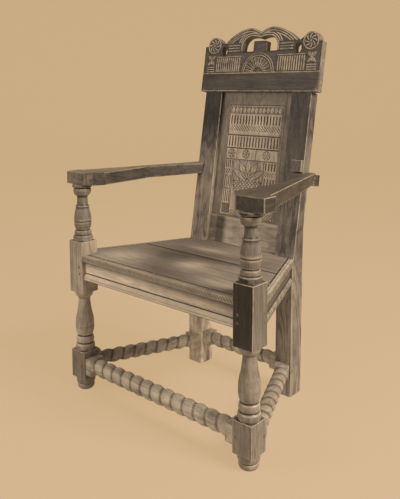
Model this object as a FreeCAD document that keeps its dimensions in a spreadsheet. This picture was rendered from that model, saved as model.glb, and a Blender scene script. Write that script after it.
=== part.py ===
import FreeCAD, Part
import math
import os
import Sketcher

# Joined oak armchair with a carved panelled back, in millimetres.
# X runs to the sitter's left, which is the viewer's right. Y runs to the back and Z up.
# The origin lies on the floor, in the middle of the chair's width and depth.

SIZES = {
    # Plan of the frame
    "post_side": 60,
    "front_width": 696,
    "rear_width": 412,
    "frame_depth": 388,
    # Heights on the front posts
    "foot_top": 37,
    "lower_block_top": 125,
    "block_below_rail": 42,
    "block_above_seat": 40,
    "arm_height": 642,
    "arm_pin_radius": 9,
    "arm_pin_length": 22,
    # Rear legs and the stiles that they grow into
    "leg_width": 56,
    "leg_depth": 57,
    "stile_width": 70,
    "stile_depth": 36,
    "rake_angle": 9.5,
    "knee_step": 9,
    "knee_above_seat": 10,
    "knee_back_drop": 30,
    "knee_run": 80,
    "back_height": 487,
    # Seat boards and seat rails
    "seat_height": 430,
    "board_thickness": 18,
    "board_setback": 2,
    "board_side_overhang": 4,
    "board_joint": 235,
    "board_gap": 0.3,
    "board_tail": 52,
    "rail_height": 60,
    "rail_thickness": 30,
    "rail_setback": 6,
    "field_depth": 6,
    "moulding_height": 12,
    "moulding_bevel": 10,
    "moulding_arris_height": 4,
    "rear_rail_setback": 24,
    "rear_rail_thickness": 28,
    # Mortise and tenon joints of the rails
    "tenon_thickness": 12,
    "tenon_shoulder": 8,
    "tenon_inset": 10,
    "rail_tenon_length": 34,
    "side_tenon_length": 26,
    "joint_clearance": 0.2,
    "mortise_end_gap": 1,
    "cut_overrun": 5,
    # Oak pegs
    "peg_radius": 4,
    "peg_clearance": 0.1,
    "peg_end_gap": 1,
    "post_peg_length": 44,
    "side_peg_length": 38,
    "board_peg_length": 46,
    "board_peg_end_distance": 90,
    # Rope-turned stretchers
    "stretcher_height": 80,
    "rear_stretcher_height": 90,
    "front_rope_radius": 25,
    "side_rope_radius": 22,
    "rope_groove": 4,
    "rope_pitch": 40,
    "stretcher_block": 26,
    "front_block_side": 50,
    "side_block_side": 44,
    "rope_ridge_gap": 2,
    "rope_ridge_sink": 1,
    "stretcher_tenon_height": 22,
    "stretcher_tenon_thickness": 14,
    "stretcher_tenon_length": 22,
    "side_stretcher_tenon": 18,
    # Back between the stiles
    "back_rail_top": 78,
    "back_rail_inset": 10,
    "back_rail_thickness": 22,
    "back_tenon_length": 28,
    "panel_inset": 14,
    "panel_thickness": 12,
    "panel_tongue": 8,
    "panel_tongue_thickness": 7,
    "panel_clearance": 0.3,
    # Pierced crest
    "crest_width": 452,
    "crest_thickness": 28,
    "crest_proud": 4,
    "crest_shoulder": 152,
    "ear_radius": 28,
    "ear_offset": 39,
    "ear_height": 154,
    "valley_place": 149,
    "valley_height": 158,
    "arch_foot_place": 138,
    "arch_foot_height": 161,
    "arch_peak_place": 47,
    "arch_peak_height": 205,
    "arch_rise": 9,
    "arch_dip_height": 190,
    "arch_inner_rise": 4,
    "opening_width": 136,
    "opening_bottom": 129,
    "opening_spring": 146,
    "opening_peak_place": 34,
    "opening_peak_height": 177,
    "opening_rise": 9,
    "opening_cusp_height": 171,
    "opening_cusp_rise": 2,
    "key_width": 48,
    "key_height": 162,
    "oval_place": 143,
    "oval_height": 134,
    "oval_half_width": 12.5,
    "oval_half_height": 16.5,
    "oval_rise": 4.4,
    "crest_tenon_width": 40,
    "crest_tenon_length": 40,
    # Arms
    "arm_thickness": 38,
    "arm_rear_thickness": 31,
    "arm_front_setback": 12,
    "arm_outer_overhang": 21,
    "arm_front_width": 84,
    "arm_grip_width": 119,
    "arm_clip_depth": 53,
    "arm_clip_rise": 4,
    "arm_rest_depth": 48,
    "arm_outer_step": 16,
    "arm_waist_depth": 231,
    "arm_waist_outward": 12,
    "arm_inner_step": 8,
    "arm_tongue_thickness": 26,
    "arm_shoulder": 25,
    # Batten behind the stiles and the block above the arm
    "batten_drop": 2,
    "batten_height": 36,
    "batten_depth": 30,
    "batten_overhang": 20,
    "batten_peg_inset": 18,
    "batten_peg_rise": 9,
    "batten_peg_reach": 20,
    "cleat_width": 36,
    "cleat_height": 35,
    "cleat_thickness": 14,
    "cleat_peg_radius": 3,
    "cleat_peg_reach": 24,
}

# Turned outlines from bottom to top, each row a radius, a height and a bulge.
# Radii and bulges are shares of half the post's side, heights are shares of the turning's length.
FOOT_SHARES = [
    (0.72, 0.0, 0.09), (0.84, 0.42, 0.0), (0.79, 0.44, 0.0), (0.79, 0.50, 0.0),
    (0.89, 0.52, 0.05), (0.94, 0.90, 0.0), (0.94, 1.0, 0.0),
]
LOWER_TURNING_SHARES = [
    (0.94, 0.0, 0.05), (0.94, 0.10, 0.0), (0.80, 0.11, 0.0), (0.80, 0.13, 0.0),
    (0.86, 0.135, 0.06), (0.84, 0.23, 0.0), (0.74, 0.24, 0.0), (0.74, 0.262, 0.0),
    (0.80, 0.265, 0.05), (0.95, 0.42, 0.02), (0.86, 0.58, -0.03), (0.64, 0.78, -0.02),
    (0.60, 0.88, 0.0), (0.64, 0.90, 0.08), (0.94, 1.0, 0.0),
]
UPPER_TURNING_SHARES = [
    (0.93, 0.0, 0.06), (0.93, 0.09, 0.0), (0.80, 0.10, 0.0), (0.80, 0.112, 0.0),
    (0.84, 0.115, 0.04), (0.78, 0.18, 0.0), (0.68, 0.185, 0.0), (0.68, 0.20, 0.0),
    (0.73, 0.205, 0.04), (0.87, 0.33, 0.0), (0.84, 0.34, 0.0), (0.84, 0.355, 0.0),
    (0.88, 0.36, 0.04), (0.64, 0.595, 0.0), (0.68, 0.60, 0.03), (0.68, 0.622, 0.0),
    (0.58, 0.63, -0.02), (0.53, 0.79, 0.0), (0.60, 0.80, 0.06), (0.84, 0.86, 0.03),
    (0.88, 0.925, 0.0), (0.79, 0.93, 0.0), (0.79, 0.945, 0.0), (0.92, 0.95, 0.06), (0.94, 1.0, 0.0),
]

# Places of pegs, as shares of the tenon, rail or block that they go through
RAIL_PEG_SHARES = (0.27, 0.73)
FRONT_TENON_PEG_SHARE = 0.42
SIDE_TENON_PEG_SHARE = 0.46
BACK_TENON_PEG_SHARE = 1 / 3
BACK_RAIL_PEG_SHARES = (0.15, 0.75)
CLEAT_PEG_SHARES = (0.3, 0.7)
ARM_PEG_SHARES = (0.35, 0.72)
FRONT_BOARD_PEG_SHARES = (-0.7, 0, 0.7)
TAIL_PEG_SHARE = 0.6


class Value:
    """A number together with the formula that binds it to the sheet."""

    def __init__(self, number, text):
        self.number = number
        self.text = text

    def __add__(self, other):
        other = value_of(other)
        return Value(self.number + other.number, "(" + self.text + " + " + other.text + ")")

    def __sub__(self, other):
        other = value_of(other)
        return Value(self.number - other.number, "(" + self.text + " - " + other.text + ")")

    def __mul__(self, other):
        other = value_of(other)
        return Value(self.number * other.number, "(" + self.text + " * " + other.text + ")")

    def __truediv__(self, other):
        other = value_of(other)
        return Value(self.number / other.number, "(" + self.text + " / " + other.text + ")")

    def __neg__(self):
        return Value(-self.number, "(0 - " + self.text + ")")

    __rmul__ = __mul__
    __radd__ = __add__


def value_of(thing):
    if isinstance(thing, Value):
        return thing
    return Value(thing, repr(thing))


def root(value):
    return Value(math.sqrt(value.number), "sqrt(" + value.text + ")")


def cosine(angle):
    return Value(math.cos(math.radians(angle.number)), "cos(" + angle.text + ")")


def sine(angle):
    return Value(math.sin(math.radians(angle.number)), "sin(" + angle.text + ")")


def tangent(angle):
    return Value(math.tan(math.radians(angle.number)), "tan(" + angle.text + ")")


def angle_of(rise, run):
    ratio = rise / run
    return Value(math.degrees(math.atan(ratio.number)), "atan(" + ratio.text + ")")


def bind(thing, name, value):
    """Give a property its formula."""
    thing.setExpression(name, value_of(value).text)


document = FreeCAD.newDocument("WainscotChair")
sheet = document.addObject("Spreadsheet::Sheet", "Sizes")
size = {}
for row, (alias, number) in enumerate(SIZES.items(), start=1):
    sheet.set("A" + str(row), alias)
    sheet.set("B" + str(row), str(number))
    sheet.setAlias("B" + str(row), alias)
    size[alias] = Value(number, "Sizes." + alias)
document.recompute()

ZERO = Value(0, "0")
RIGHT_ANGLE = Value(90, "90 deg")
QUARTER_ARC_SHARE = 1 - math.cos(math.radians(45))
SIXTH_ARC_SHARE = 1 - math.cos(math.radians(30))
EAR_COSINE_SHARE = math.cos(math.radians(30))
EAR_SINE_SHARE = math.sin(math.radians(30))


class Frame:
    """A place and a turn that pieces are set out in."""

    def __init__(self, x, y, z, turn=None, about="z"):
        self.origin = (x, y, z)
        self.turn = turn
        self.about = about

    def point(self, x, y, z):
        ox, oy, oz = self.origin
        if self.turn is None:
            return ox + x, oy + y, oz + z
        c, s = cosine(self.turn), sine(self.turn)
        if self.about == "z":
            return ox + x * c - y * s, oy + x * s + y * c, oz + z
        return ox + x, oy + y * c + z * s, oz + z * c - y * s

    def place(self, thing, x=ZERO, y=ZERO, z=ZERO):
        """Bind a thing's placement to a point of this frame, turned with it."""
        if self.turn is not None:
            axis = FreeCAD.Vector(0, 0, 1) if self.about == "z" else FreeCAD.Vector(-1, 0, 0)
            thing.Placement = FreeCAD.Placement(
                FreeCAD.Vector(), FreeCAD.Rotation(axis, self.turn.number))
            bind(thing, "Placement.Rotation.Angle", self.turn)
        for letter, value in zip("xyz", self.point(x, y, z)):
            bind(thing, "Placement.Base." + letter, value)
        return thing


# Places shared by several pieces
half_post = size["post_side"] / 2
outer_x = size["front_width"] / 2
post_x = outer_x - half_post
inner_x = outer_x - size["post_side"]
leg_outer_x = size["rear_width"] / 2
leg_inner_x = leg_outer_x - size["leg_width"]
leg_x = leg_outer_x - size["leg_width"] / 2
stile_inner_x = leg_outer_x - size["stile_width"]
rake = size["rake_angle"]
stile_top_y = size["frame_depth"] + size["knee_step"] + sine(rake) * size["back_height"]
rear_most = (stile_top_y + sine(rake) * size["arch_peak_height"]
             + cosine(rake) * (size["crest_thickness"] - size["crest_proud"]))
front_y = -rear_most / 2
leg_y = front_y + size["frame_depth"]
rail_top = size["seat_height"] - size["board_thickness"]
rail_bottom = rail_top - size["rail_height"]
upper_block_bottom = rail_bottom - size["block_below_rail"]
upper_block_top = size["seat_height"] + size["block_above_seat"]
knee_height = size["seat_height"] + size["knee_above_seat"]
knee_back_height = size["seat_height"] - size["knee_back_drop"]

LEVEL = Frame(ZERO, ZERO, ZERO)
RAKED = Frame(ZERO, leg_y + size["knee_step"], knee_height, rake, "x")

side_rail_front_x = outer_x - size["rail_setback"]
side_run = size["frame_depth"] - size["post_side"]
splay = angle_of(side_rail_front_x - leg_outer_x, side_run)
SIDE_RAIL = Frame(side_rail_front_x, front_y + size["post_side"], ZERO, RIGHT_ANGLE + splay)
side_rail_length = side_run / cosine(splay)

stretcher_splay = angle_of(post_x - leg_x, side_run)
SIDE_STRETCHER = Frame(post_x, front_y + size["post_side"], size["stretcher_height"],
                       RIGHT_ANGLE + stretcher_splay)
side_stretcher_length = side_run / cosine(stretcher_splay)


def box(name, frame, low, high):
    """A box between two corners that are given in a frame."""
    thing = document.addObject("Part::Box", name)
    for side, a, b in zip(("Length", "Width", "Height"), low, high):
        bind(thing, side, value_of(b) - a)
    return frame.place(thing, *[value_of(a) for a in low])


def cylinder(name, frame, start, radius, length, direction):
    """A cylinder from a point of a level frame along one of its axes."""
    turns = {
        "+x": FreeCAD.Rotation(FreeCAD.Vector(0, 1, 0), 90),
        "-x": FreeCAD.Rotation(FreeCAD.Vector(0, 1, 0), -90),
        "+y": FreeCAD.Rotation(FreeCAD.Vector(1, 0, 0), -90),
        "-y": FreeCAD.Rotation(FreeCAD.Vector(1, 0, 0), 90),
        "+z": FreeCAD.Rotation(),
        "-z": FreeCAD.Rotation(FreeCAD.Vector(1, 0, 0), 180),
    }
    thing = document.addObject("Part::Cylinder", name)
    bind(thing, "Radius", radius)
    bind(thing, "Height", length)
    thing.Placement = FreeCAD.Placement(FreeCAD.Vector(), turns[direction])
    for letter, value in zip("xyz", frame.point(*start)):
        bind(thing, "Placement.Base." + letter, value)
    return thing


def raked_cylinder(name, start, radius, length):
    """A cylinder that runs square into the leaning back."""
    thing = document.addObject("Part::Cylinder", name)
    bind(thing, "Radius", radius)
    bind(thing, "Height", length)
    axis = FreeCAD.Vector(-1, 0, 0)
    square_in = RIGHT_ANGLE + Value(rake.number, "(" + rake.text + " * 1 deg)")
    thing.Placement = FreeCAD.Placement(FreeCAD.Vector(), FreeCAD.Rotation(axis, square_in.number))
    bind(thing, "Placement.Rotation.Angle", square_in)
    for letter, value in zip("xyz", RAKED.point(*start)):
        bind(thing, "Placement.Base." + letter, value)
    return thing


def fused(name, shapes):
    if len(shapes) == 1:
        return shapes[0]
    thing = document.addObject("Part::MultiFuse", name)
    thing.Shapes = shapes
    return thing


def less(name, base, tools):
    """The base with all tools cut away."""
    thing = document.addObject("Part::Cut", name)
    thing.Base = base
    thing.Tool = fused(name + "_tools", tools)
    return thing


def mirrored(name, source):
    thing = document.addObject("Part::Mirroring", name)
    thing.Source = source
    thing.Normal = FreeCAD.Vector(1, 0, 0)
    return thing


def gathered(name, shapes):
    """Separate like pieces in one group."""
    thing = document.addObject("Part::Compound", name)
    thing.Links = shapes
    return thing


def add_loop(sketch, loop):
    """Draw one counter-clockwise loop, its corners and radii bound to the sheet.

    Each corner is x, y and, where the edge that leaves it is an arc, how far it bulges outward.
    """
    count = len(loop)
    corners = [(value_of(row[0]), value_of(row[1])) for row in loop]
    edges = []
    for i, row in enumerate(loop):
        (ax, ay), (bx, by) = corners[i], corners[(i + 1) % count]
        start = FreeCAD.Vector(ax.number, ay.number, 0)
        end = FreeCAD.Vector(bx.number, by.number, 0)
        bulge = value_of(row[2]) if len(row) > 2 else ZERO
        if bulge.number == 0:
            edges.append((sketch.addGeometry(Part.LineSegment(start, end)), 1, 2))
            continue
        along = end - start
        outward = FreeCAD.Vector(along.y, -along.x, 0).normalize()
        middle = (start + end) * 0.5 + outward * bulge.number
        if bulge.number > 0:
            edge = (sketch.addGeometry(Part.Arc(start, middle, end)), 1, 2)
        else:
            edge = (sketch.addGeometry(Part.Arc(end, middle, start)), 2, 1)
        edges.append(edge)
        dx, dy = bx - ax, by - ay
        rise = bulge if bulge.number > 0 else -bulge
        radius = ((dx * dx + dy * dy) / 4 + rise * rise) / (2 * rise)
        index = sketch.addConstraint(Sketcher.Constraint("Radius", edge[0], radius.number))
        bind(sketch, "Constraints[" + str(index) + "]", radius)
    for i, (edge, first, last) in enumerate(edges):
        following, following_first, _ = edges[(i + 1) % count]
        sketch.addConstraint(
            Sketcher.Constraint("Coincident", edge, last, following, following_first))
        for kind, axis, value in (("DistanceX", -2, corners[i][0]), ("DistanceY", -1, corners[i][1])):
            if value.text == "0":
                sketch.addConstraint(Sketcher.Constraint("PointOnObject", edge, first, axis))
                continue
            index = sketch.addConstraint(
                Sketcher.Constraint(kind, -1, 1, edge, first, value.number))
            bind(sketch, "Constraints[" + str(index) + "]", value)


def drawn(body, role, loops, offset=None):
    """A sketch of closed loops on one of the body's origin planes."""
    sketch = body.newObject("Sketcher::SketchObject", body.Name + "_outline")
    planes = [plane for plane in body.Origin.OriginFeatures if plane.Role == role]
    sketch.AttachmentSupport = [(planes[0], "")]
    sketch.MapMode = "FlatFace"
    if offset is not None:
        bind(sketch, "AttachmentOffset.Base.z", offset)
    for loop in loops:
        add_loop(sketch, loop)
    return sketch


def padded(body, role, loops, length, offset=None, backward=False):
    """A pad of closed loops, added to the body."""
    sketch = drawn(body, role, loops, offset)
    pad = body.newObject("PartDesign::Pad", body.Name + "_pad")
    pad.Profile = sketch
    pad.Reversed = backward
    bind(pad, "Length", length)
    return pad


def new_body(name):
    return document.addObject("PartDesign::Body", name)


def turned(body, outline):
    """A turning about the body's own upright axis, from rows of radius, height and bulge."""
    loop = [(ZERO, outline[0][1])] + outline + [(ZERO, outline[-1][1])]
    sketch = drawn(body, "XZ_Plane", [loop])
    turning = body.newObject("PartDesign::Revolution", body.Name + "_turning")
    turning.Profile = sketch
    turning.ReferenceAxis = (sketch, ["V_Axis"])
    turning.Angle = 360
    return turning


def rectangle(low_x, low_y, high_x, high_y):
    return [(low_x, low_y), (high_x, low_y), (high_x, high_y), (low_x, high_y)]


def turned_rows(shares, bottom, top):
    """Rows of a turned outline in real sizes."""
    rows = []
    for radius_share, height_share, bulge_share in shares:
        rows.append((half_post * radius_share,
                     bottom + (top - bottom) * height_share,
                     half_post * bulge_share))
    return rows


def grown(low, high, ends):
    """A mortise around a tenon: joint clearance on every side and a gap past the named ends."""
    gap = size["joint_clearance"]
    low = [value_of(a) - gap for a in low]
    high = [value_of(b) + gap for b in high]
    for axis, side in ends:
        if side > 0:
            high[axis] = high[axis] + size["mortise_end_gap"]
        else:
            low[axis] = low[axis] - size["mortise_end_gap"]
    return low, high


def peg_and_hole(name, frame, start, length, direction, radius=None):
    """A peg driven in from a face, and the hole for it."""
    radius = radius or size["peg_radius"]
    peg = cylinder(name, frame, start, radius, length, direction)
    reach = length + size["peg_end_gap"] + size["cut_overrun"]
    step = {"+": -size["cut_overrun"], "-": size["cut_overrun"]}[direction[0]]
    mouth = list(start)
    mouth["xyz".index(direction[1])] = mouth["xyz".index(direction[1])] + step
    hole = cylinder(name + "_hole", frame, mouth, radius + size["peg_clearance"], reach, direction)
    return peg, hole


def raked_peg_and_hole(name, start, length, radius=None, proud=ZERO):
    """A peg driven square into the leaning back, and the hole for it."""
    radius = radius or size["peg_radius"]
    x, y, z = [value_of(a) for a in start]
    peg = raked_cylinder(name, (x, y - proud, z), radius, length + proud)
    reach = length + size["peg_end_gap"] + size["cut_overrun"]
    hole = raked_cylinder(name + "_hole", (x, y - size["cut_overrun"], z),
                          radius + size["peg_clearance"], reach)
    return peg, hole


# Joints of the seat rails: tenons, mortises and pegs on the chair's right side, mirrored later
tenon_low = rail_bottom + size["tenon_shoulder"]
tenon_high = rail_top - size["tenon_shoulder"]
peg_heights = [tenon_low + (tenon_high - tenon_low) * share for share in RAIL_PEG_SHARES]

front_tenon = (
    (-inner_x - size["rail_tenon_length"], front_y + size["rail_setback"] + size["tenon_inset"],
     tenon_low),
    (inner_x + size["rail_tenon_length"],
     front_y + size["rail_setback"] + size["tenon_inset"] + size["tenon_thickness"], tenon_high))
front_mortise = grown(*front_tenon, ends=[(0, 1), (0, -1)])

side_tenon_y = (size["rail_thickness"] - size["tenon_thickness"]) / 2
side_shoulder = size["rail_thickness"] / 2 * tangent(splay)
side_tenon = (
    (side_shoulder - size["side_tenon_length"], side_tenon_y, tenon_low),
    (side_rail_length + side_shoulder + size["side_tenon_length"],
     side_tenon_y + size["tenon_thickness"], tenon_high))
side_mortise = grown(*side_tenon, ends=[(0, 1), (0, -1)])

rear_rail_y = leg_y + size["rear_rail_setback"]
rear_tenon_y = rear_rail_y + (size["rear_rail_thickness"] - size["tenon_thickness"]) / 2
rear_tenon_end = size["side_tenon_length"]
rear_tenon = (
    (-leg_inner_x - rear_tenon_end, rear_tenon_y, tenon_low),
    (leg_inner_x + rear_tenon_end, rear_tenon_y + size["tenon_thickness"], tenon_high))
rear_mortise = grown(*rear_tenon, ends=[(0, 1), (0, -1)])

# Joints of the stretchers
half_tenon_height = size["stretcher_tenon_height"] / 2
half_tenon_thickness = size["stretcher_tenon_thickness"] / 2
stretcher_y = front_y + half_post
rear_stretcher_y = leg_y + size["leg_depth"] / 2
front_stretcher_tenon = (
    (-inner_x - size["stretcher_tenon_length"], stretcher_y - half_tenon_thickness,
     size["stretcher_height"] - half_tenon_height),
    (inner_x + size["stretcher_tenon_length"], stretcher_y + half_tenon_thickness,
     size["stretcher_height"] + half_tenon_height))
rear_stretcher_tenon = (
    (-leg_inner_x - size["stretcher_tenon_length"], rear_stretcher_y - half_tenon_thickness,
     size["rear_stretcher_height"] - half_tenon_height),
    (leg_inner_x + size["stretcher_tenon_length"], rear_stretcher_y + half_tenon_thickness,
     size["rear_stretcher_height"] + half_tenon_height))
side_stretcher_tenon = (
    (-size["side_stretcher_tenon"], -half_tenon_thickness, -half_tenon_height),
    (side_stretcher_length + size["side_stretcher_tenon"], half_tenon_thickness, half_tenon_height))
stretcher_ends = [(0, 1), (0, -1)]

# Pegs of the front posts
post_pegs, post_holes = [], []
stretcher_pegs, stretcher_holes = [], []
for number, height in enumerate(peg_heights):
    made = peg_and_hole(
        "front_rail_peg_" + str(number), LEVEL,
        (inner_x + size["rail_tenon_length"] * FRONT_TENON_PEG_SHARE, front_y, height),
        size["post_peg_length"], "+y")
    post_pegs.append(made[0])
    post_holes.append(made[1])
    made = peg_and_hole(
        "side_rail_peg_" + str(number), LEVEL,
        (outer_x, front_y + size["post_side"] - size["side_tenon_length"] * SIDE_TENON_PEG_SHARE, height),
        size["side_peg_length"], "-x")
    post_pegs.append(made[0])
    post_holes.append(made[1])
for name, start, length, direction in (
        ("front_stretcher_peg",
         (inner_x + size["stretcher_tenon_length"] / 2, front_y, size["stretcher_height"]),
         size["post_peg_length"], "+y"),
        ("side_stretcher_peg",
         (outer_x, front_y + size["post_side"] - size["side_stretcher_tenon"] / 2,
          size["stretcher_height"]),
         size["side_peg_length"], "-x")):
    made = peg_and_hole(name, LEVEL, start, length, direction)
    stretcher_pegs.append(made[0])
    stretcher_holes.append(made[1])

# Pegs of the rear legs
leg_pegs, leg_holes = [], []
leg_stretcher_pegs, leg_stretcher_holes = [], []
for number, height in enumerate(peg_heights):
    made = peg_and_hole(
        "leg_side_peg_" + str(number), LEVEL,
        (leg_outer_x, leg_y + size["side_tenon_length"] * SIDE_TENON_PEG_SHARE, height),
        size["side_peg_length"], "-x")
    leg_pegs.append(made[0])
    leg_holes.append(made[1])
    made = peg_and_hole(
        "leg_rear_peg_" + str(number), LEVEL,
        (leg_inner_x + rear_tenon_end / 2, leg_y + size["leg_depth"], height),
        size["side_peg_length"], "-y")
    leg_pegs.append(made[0])
    leg_holes.append(made[1])
for name, start, length, direction in (
        ("leg_side_stretcher_peg",
         (leg_outer_x, leg_y + size["side_stretcher_tenon"] / 2, size["stretcher_height"]),
         size["side_peg_length"], "-x"),
        ("leg_rear_stretcher_peg",
         (leg_inner_x + size["stretcher_tenon_length"] / 2, leg_y + size["leg_depth"],
          size["rear_stretcher_height"]),
         size["leg_depth"] / 2 + half_tenon_thickness - size["peg_end_gap"] * 2, "-y")):
    made = peg_and_hole(name, LEVEL, start, length, direction)
    leg_stretcher_pegs.append(made[0])
    leg_stretcher_holes.append(made[1])


# Front posts
def front_post():
    """A turned and squared post from the foot to the arm."""
    body = new_body("post_blank")
    rows = turned_rows(FOOT_SHARES, ZERO, size["foot_top"])
    rows += turned_rows(LOWER_TURNING_SHARES, size["lower_block_top"], upper_block_bottom)
    rows += turned_rows(UPPER_TURNING_SHARES, upper_block_top, size["arm_height"])
    rows.append((size["arm_pin_radius"], size["arm_height"]))
    rows.append((size["arm_pin_radius"], size["arm_height"] + size["arm_pin_length"]))
    turned(body, rows)
    square = rectangle(-half_post, -half_post, half_post, half_post)
    for bottom, top in ((size["foot_top"], size["lower_block_top"]),
                        (upper_block_bottom, upper_block_top)):
        padded(body, "XY_Plane", [square], top - bottom, offset=bottom)
    LEVEL.place(body, post_x, stretcher_y)
    tools = [
        box("front_mortise", LEVEL, *front_mortise),
        box("side_mortise_front", SIDE_RAIL, *side_mortise),
        box("front_stretcher_mortise", LEVEL, *grown(*front_stretcher_tenon, ends=stretcher_ends)),
        box("side_stretcher_mortise", SIDE_STRETCHER,
            *grown(*side_stretcher_tenon, ends=stretcher_ends)),
    ]
    return less("front_post_right", body, tools + post_holes + stretcher_holes)


# Rear legs and stiles
def stile_outline(top_only):
    """Side view of a leg and stile, as points of y and z measured from the leg's front face."""
    knee = size["knee_step"]
    depth = size["stile_depth"]
    top = size["back_height"]
    front_top = (knee + top * sine(rake), knee_height + top * cosine(rake))
    back_top = (front_top[0] + depth * cosine(rake), front_top[1] - depth * sine(rake))
    run = size["knee_run"]
    back_low = (knee + run * sine(rake) + depth * cosine(rake),
                knee_height + run * cosine(rake) - depth * sine(rake))
    if top_only:
        start = size["seat_height"]
        lean = (start - rail_top) / (knee_height - rail_top)
        drop = (start - knee_back_height) / (back_low[1] - knee_back_height)
        return [(knee * lean, start),
                (size["leg_depth"] + (back_low[0] - size["leg_depth"]) * drop, start),
                back_low, back_top, front_top, (knee, knee_height)]
    return [(ZERO, ZERO), (size["leg_depth"], ZERO), (size["leg_depth"], knee_back_height),
            back_low, back_top, front_top, (knee, knee_height), (ZERO, rail_top)]


crest_tenon_y = (size["crest_thickness"] - size["tenon_thickness"]) / 2 - size["crest_proud"]
crest_tenon_x = leg_outer_x - size["stile_width"] / 2
crest_tenon = (
    (crest_tenon_x - size["crest_tenon_width"] / 2, crest_tenon_y,
     size["back_height"] - size["cut_overrun"]),
    (crest_tenon_x + size["crest_tenon_width"] / 2, crest_tenon_y + size["tenon_thickness"],
     size["back_height"] + size["crest_tenon_length"]))

back_rail_tenon_y = size["back_rail_inset"] + (size["back_rail_thickness"] - size["tenon_thickness"]) / 2
back_rail_tenon = (
    (-stile_inner_x - size["back_tenon_length"], back_rail_tenon_y, size["tenon_shoulder"]),
    (stile_inner_x + size["back_tenon_length"], back_rail_tenon_y + size["tenon_thickness"],
     size["back_rail_top"] - size["tenon_shoulder"] - size["panel_tongue"]))

panel_low = (
    -stile_inner_x - size["panel_tongue"], size["panel_inset"],
    size["back_rail_top"] - size["panel_tongue"])
panel_high = (
    stile_inner_x + size["panel_tongue"], size["panel_inset"] + size["panel_tongue_thickness"],
    size["back_height"] + size["panel_tongue"])
panel_groove = grown(panel_low, panel_high, ends=[])

# Pegs that run square into the leaning back
back_pegs, back_holes = [], []
for number, share in enumerate(BACK_RAIL_PEG_SHARES):
    made = raked_peg_and_hole(
        "back_rail_peg_" + str(number),
        (stile_inner_x + size["back_tenon_length"] * BACK_TENON_PEG_SHARE, ZERO,
         size["back_rail_top"] * share),
        size["stile_depth"] - size["peg_end_gap"] * 2)
    back_pegs.append(made[0])
    back_holes.append(made[1])
crest_pegs, crest_holes = [], []
made = raked_peg_and_hole(
    "crest_peg",
    (crest_tenon_x, -size["crest_proud"], size["back_height"] + size["crest_tenon_length"] / 2),
    size["crest_thickness"] - size["peg_end_gap"] * 3)
crest_pegs.append(made[0])
crest_holes.append(made[1])
cleat_pegs, cleat_holes = [], []
cleat_bottom = (size["arm_height"] + size["arm_thickness"] - knee_height
                + size["cleat_thickness"] * sine(rake)) / cosine(rake)
for number, share in enumerate(CLEAT_PEG_SHARES):
    made = raked_peg_and_hole(
        "cleat_peg_" + str(number),
        (leg_outer_x - size["cleat_width"] * share, -size["cleat_thickness"],
         cleat_bottom + size["cleat_height"] / 2),
        size["cleat_peg_reach"], size["cleat_peg_radius"])
    cleat_pegs.append(made[0])
    cleat_holes.append(made[1])
batten_bottom = (size["arm_height"] - size["batten_drop"] - knee_height
                 + size["stile_depth"] * sine(rake)) / cosine(rake)
batten_pegs, batten_holes = [], []
for number, side in enumerate((-1, 1)):
    made = raked_peg_and_hole(
        "batten_peg_" + str(number),
        (stile_inner_x - size["batten_peg_inset"], size["panel_inset"],
         batten_bottom + size["batten_height"] / 2 + size["batten_peg_rise"] * side),
        size["stile_depth"] - size["panel_inset"] + size["batten_peg_reach"])
    batten_pegs.append(made[0])
    batten_holes.append(made[1])

# Arm pegs, driven from the outside through the arm's tongue into the stile
arm_pegs, arm_holes = [], []
stile_front_at_arm = (leg_y + size["knee_step"]
                      + tangent(rake) * (size["arm_height"] - knee_height))
arm_rear_y = stile_front_at_arm + size["stile_depth"] / cosine(rake)
arm_outer_x = outer_x + size["arm_outer_overhang"]
arm_front_y = front_y + size["arm_front_setback"]
arm_step_y = arm_front_y + size["arm_rest_depth"]
arm_flare = ((arm_outer_x - size["arm_outer_step"] - leg_outer_x - size["arm_tongue_thickness"])
             / (arm_rear_y - arm_step_y))
for number, share in enumerate(ARM_PEG_SHARES):
    peg_y = stile_front_at_arm + size["stile_depth"] * share
    stand_out = size["arm_tongue_thickness"] + (arm_rear_y - peg_y) * arm_flare
    made = peg_and_hole(
        "arm_peg_" + str(number), LEVEL,
        (leg_outer_x + stand_out, peg_y,
         size["arm_height"] + size["arm_thickness"] / 2 + size["peg_radius"] * (number * 2 - 1)),
        stand_out + size["stile_width"] / 2, "-x")
    arm_pegs.append(made[0])
    arm_holes.append(made[1])


def rear_stile():
    """A straight leg below the seat that leans back above it and widens towards the panel."""
    body = new_body("stile_blank")
    padded(body, "YZ_Plane", [stile_outline(False)], size["leg_width"], offset=leg_inner_x)
    padded(body, "YZ_Plane", [stile_outline(True)], size["stile_width"], offset=stile_inner_x)
    LEVEL.place(body, ZERO, leg_y)
    tenon = box("crest_tenon", RAKED, *crest_tenon)
    tools = [
        box("side_mortise_rear", SIDE_RAIL, *side_mortise),
        box("rear_mortise", LEVEL, *rear_mortise),
        box("rear_stretcher_mortise", LEVEL, *grown(*rear_stretcher_tenon, ends=stretcher_ends)),
        box("side_stretcher_mortise_rear", SIDE_STRETCHER,
            *grown(*side_stretcher_tenon, ends=stretcher_ends)),
        box("back_rail_mortise", RAKED, *grown(*back_rail_tenon, ends=stretcher_ends)),
        box("stile_groove", RAKED, *panel_groove),
    ]
    holes = leg_holes + leg_stretcher_holes + back_holes + crest_holes + arm_holes
    whole = fused("stile_with_tenon", [body, tenon])
    return whole, tools, holes


# Seat rails
def rail_outline(top, bottom):
    """End view of a seat rail: a sunk field above a bevelled moulding, as depth and height."""
    field = size["field_depth"]
    return [
        (size["moulding_arris_height"], bottom), (size["rail_thickness"], bottom),
        (size["rail_thickness"], top), (field, top),
        (field, bottom + size["moulding_height"] + size["moulding_bevel"]),
        (ZERO, bottom + size["moulding_height"]), (ZERO, bottom + size["moulding_arris_height"]),
    ]


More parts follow.
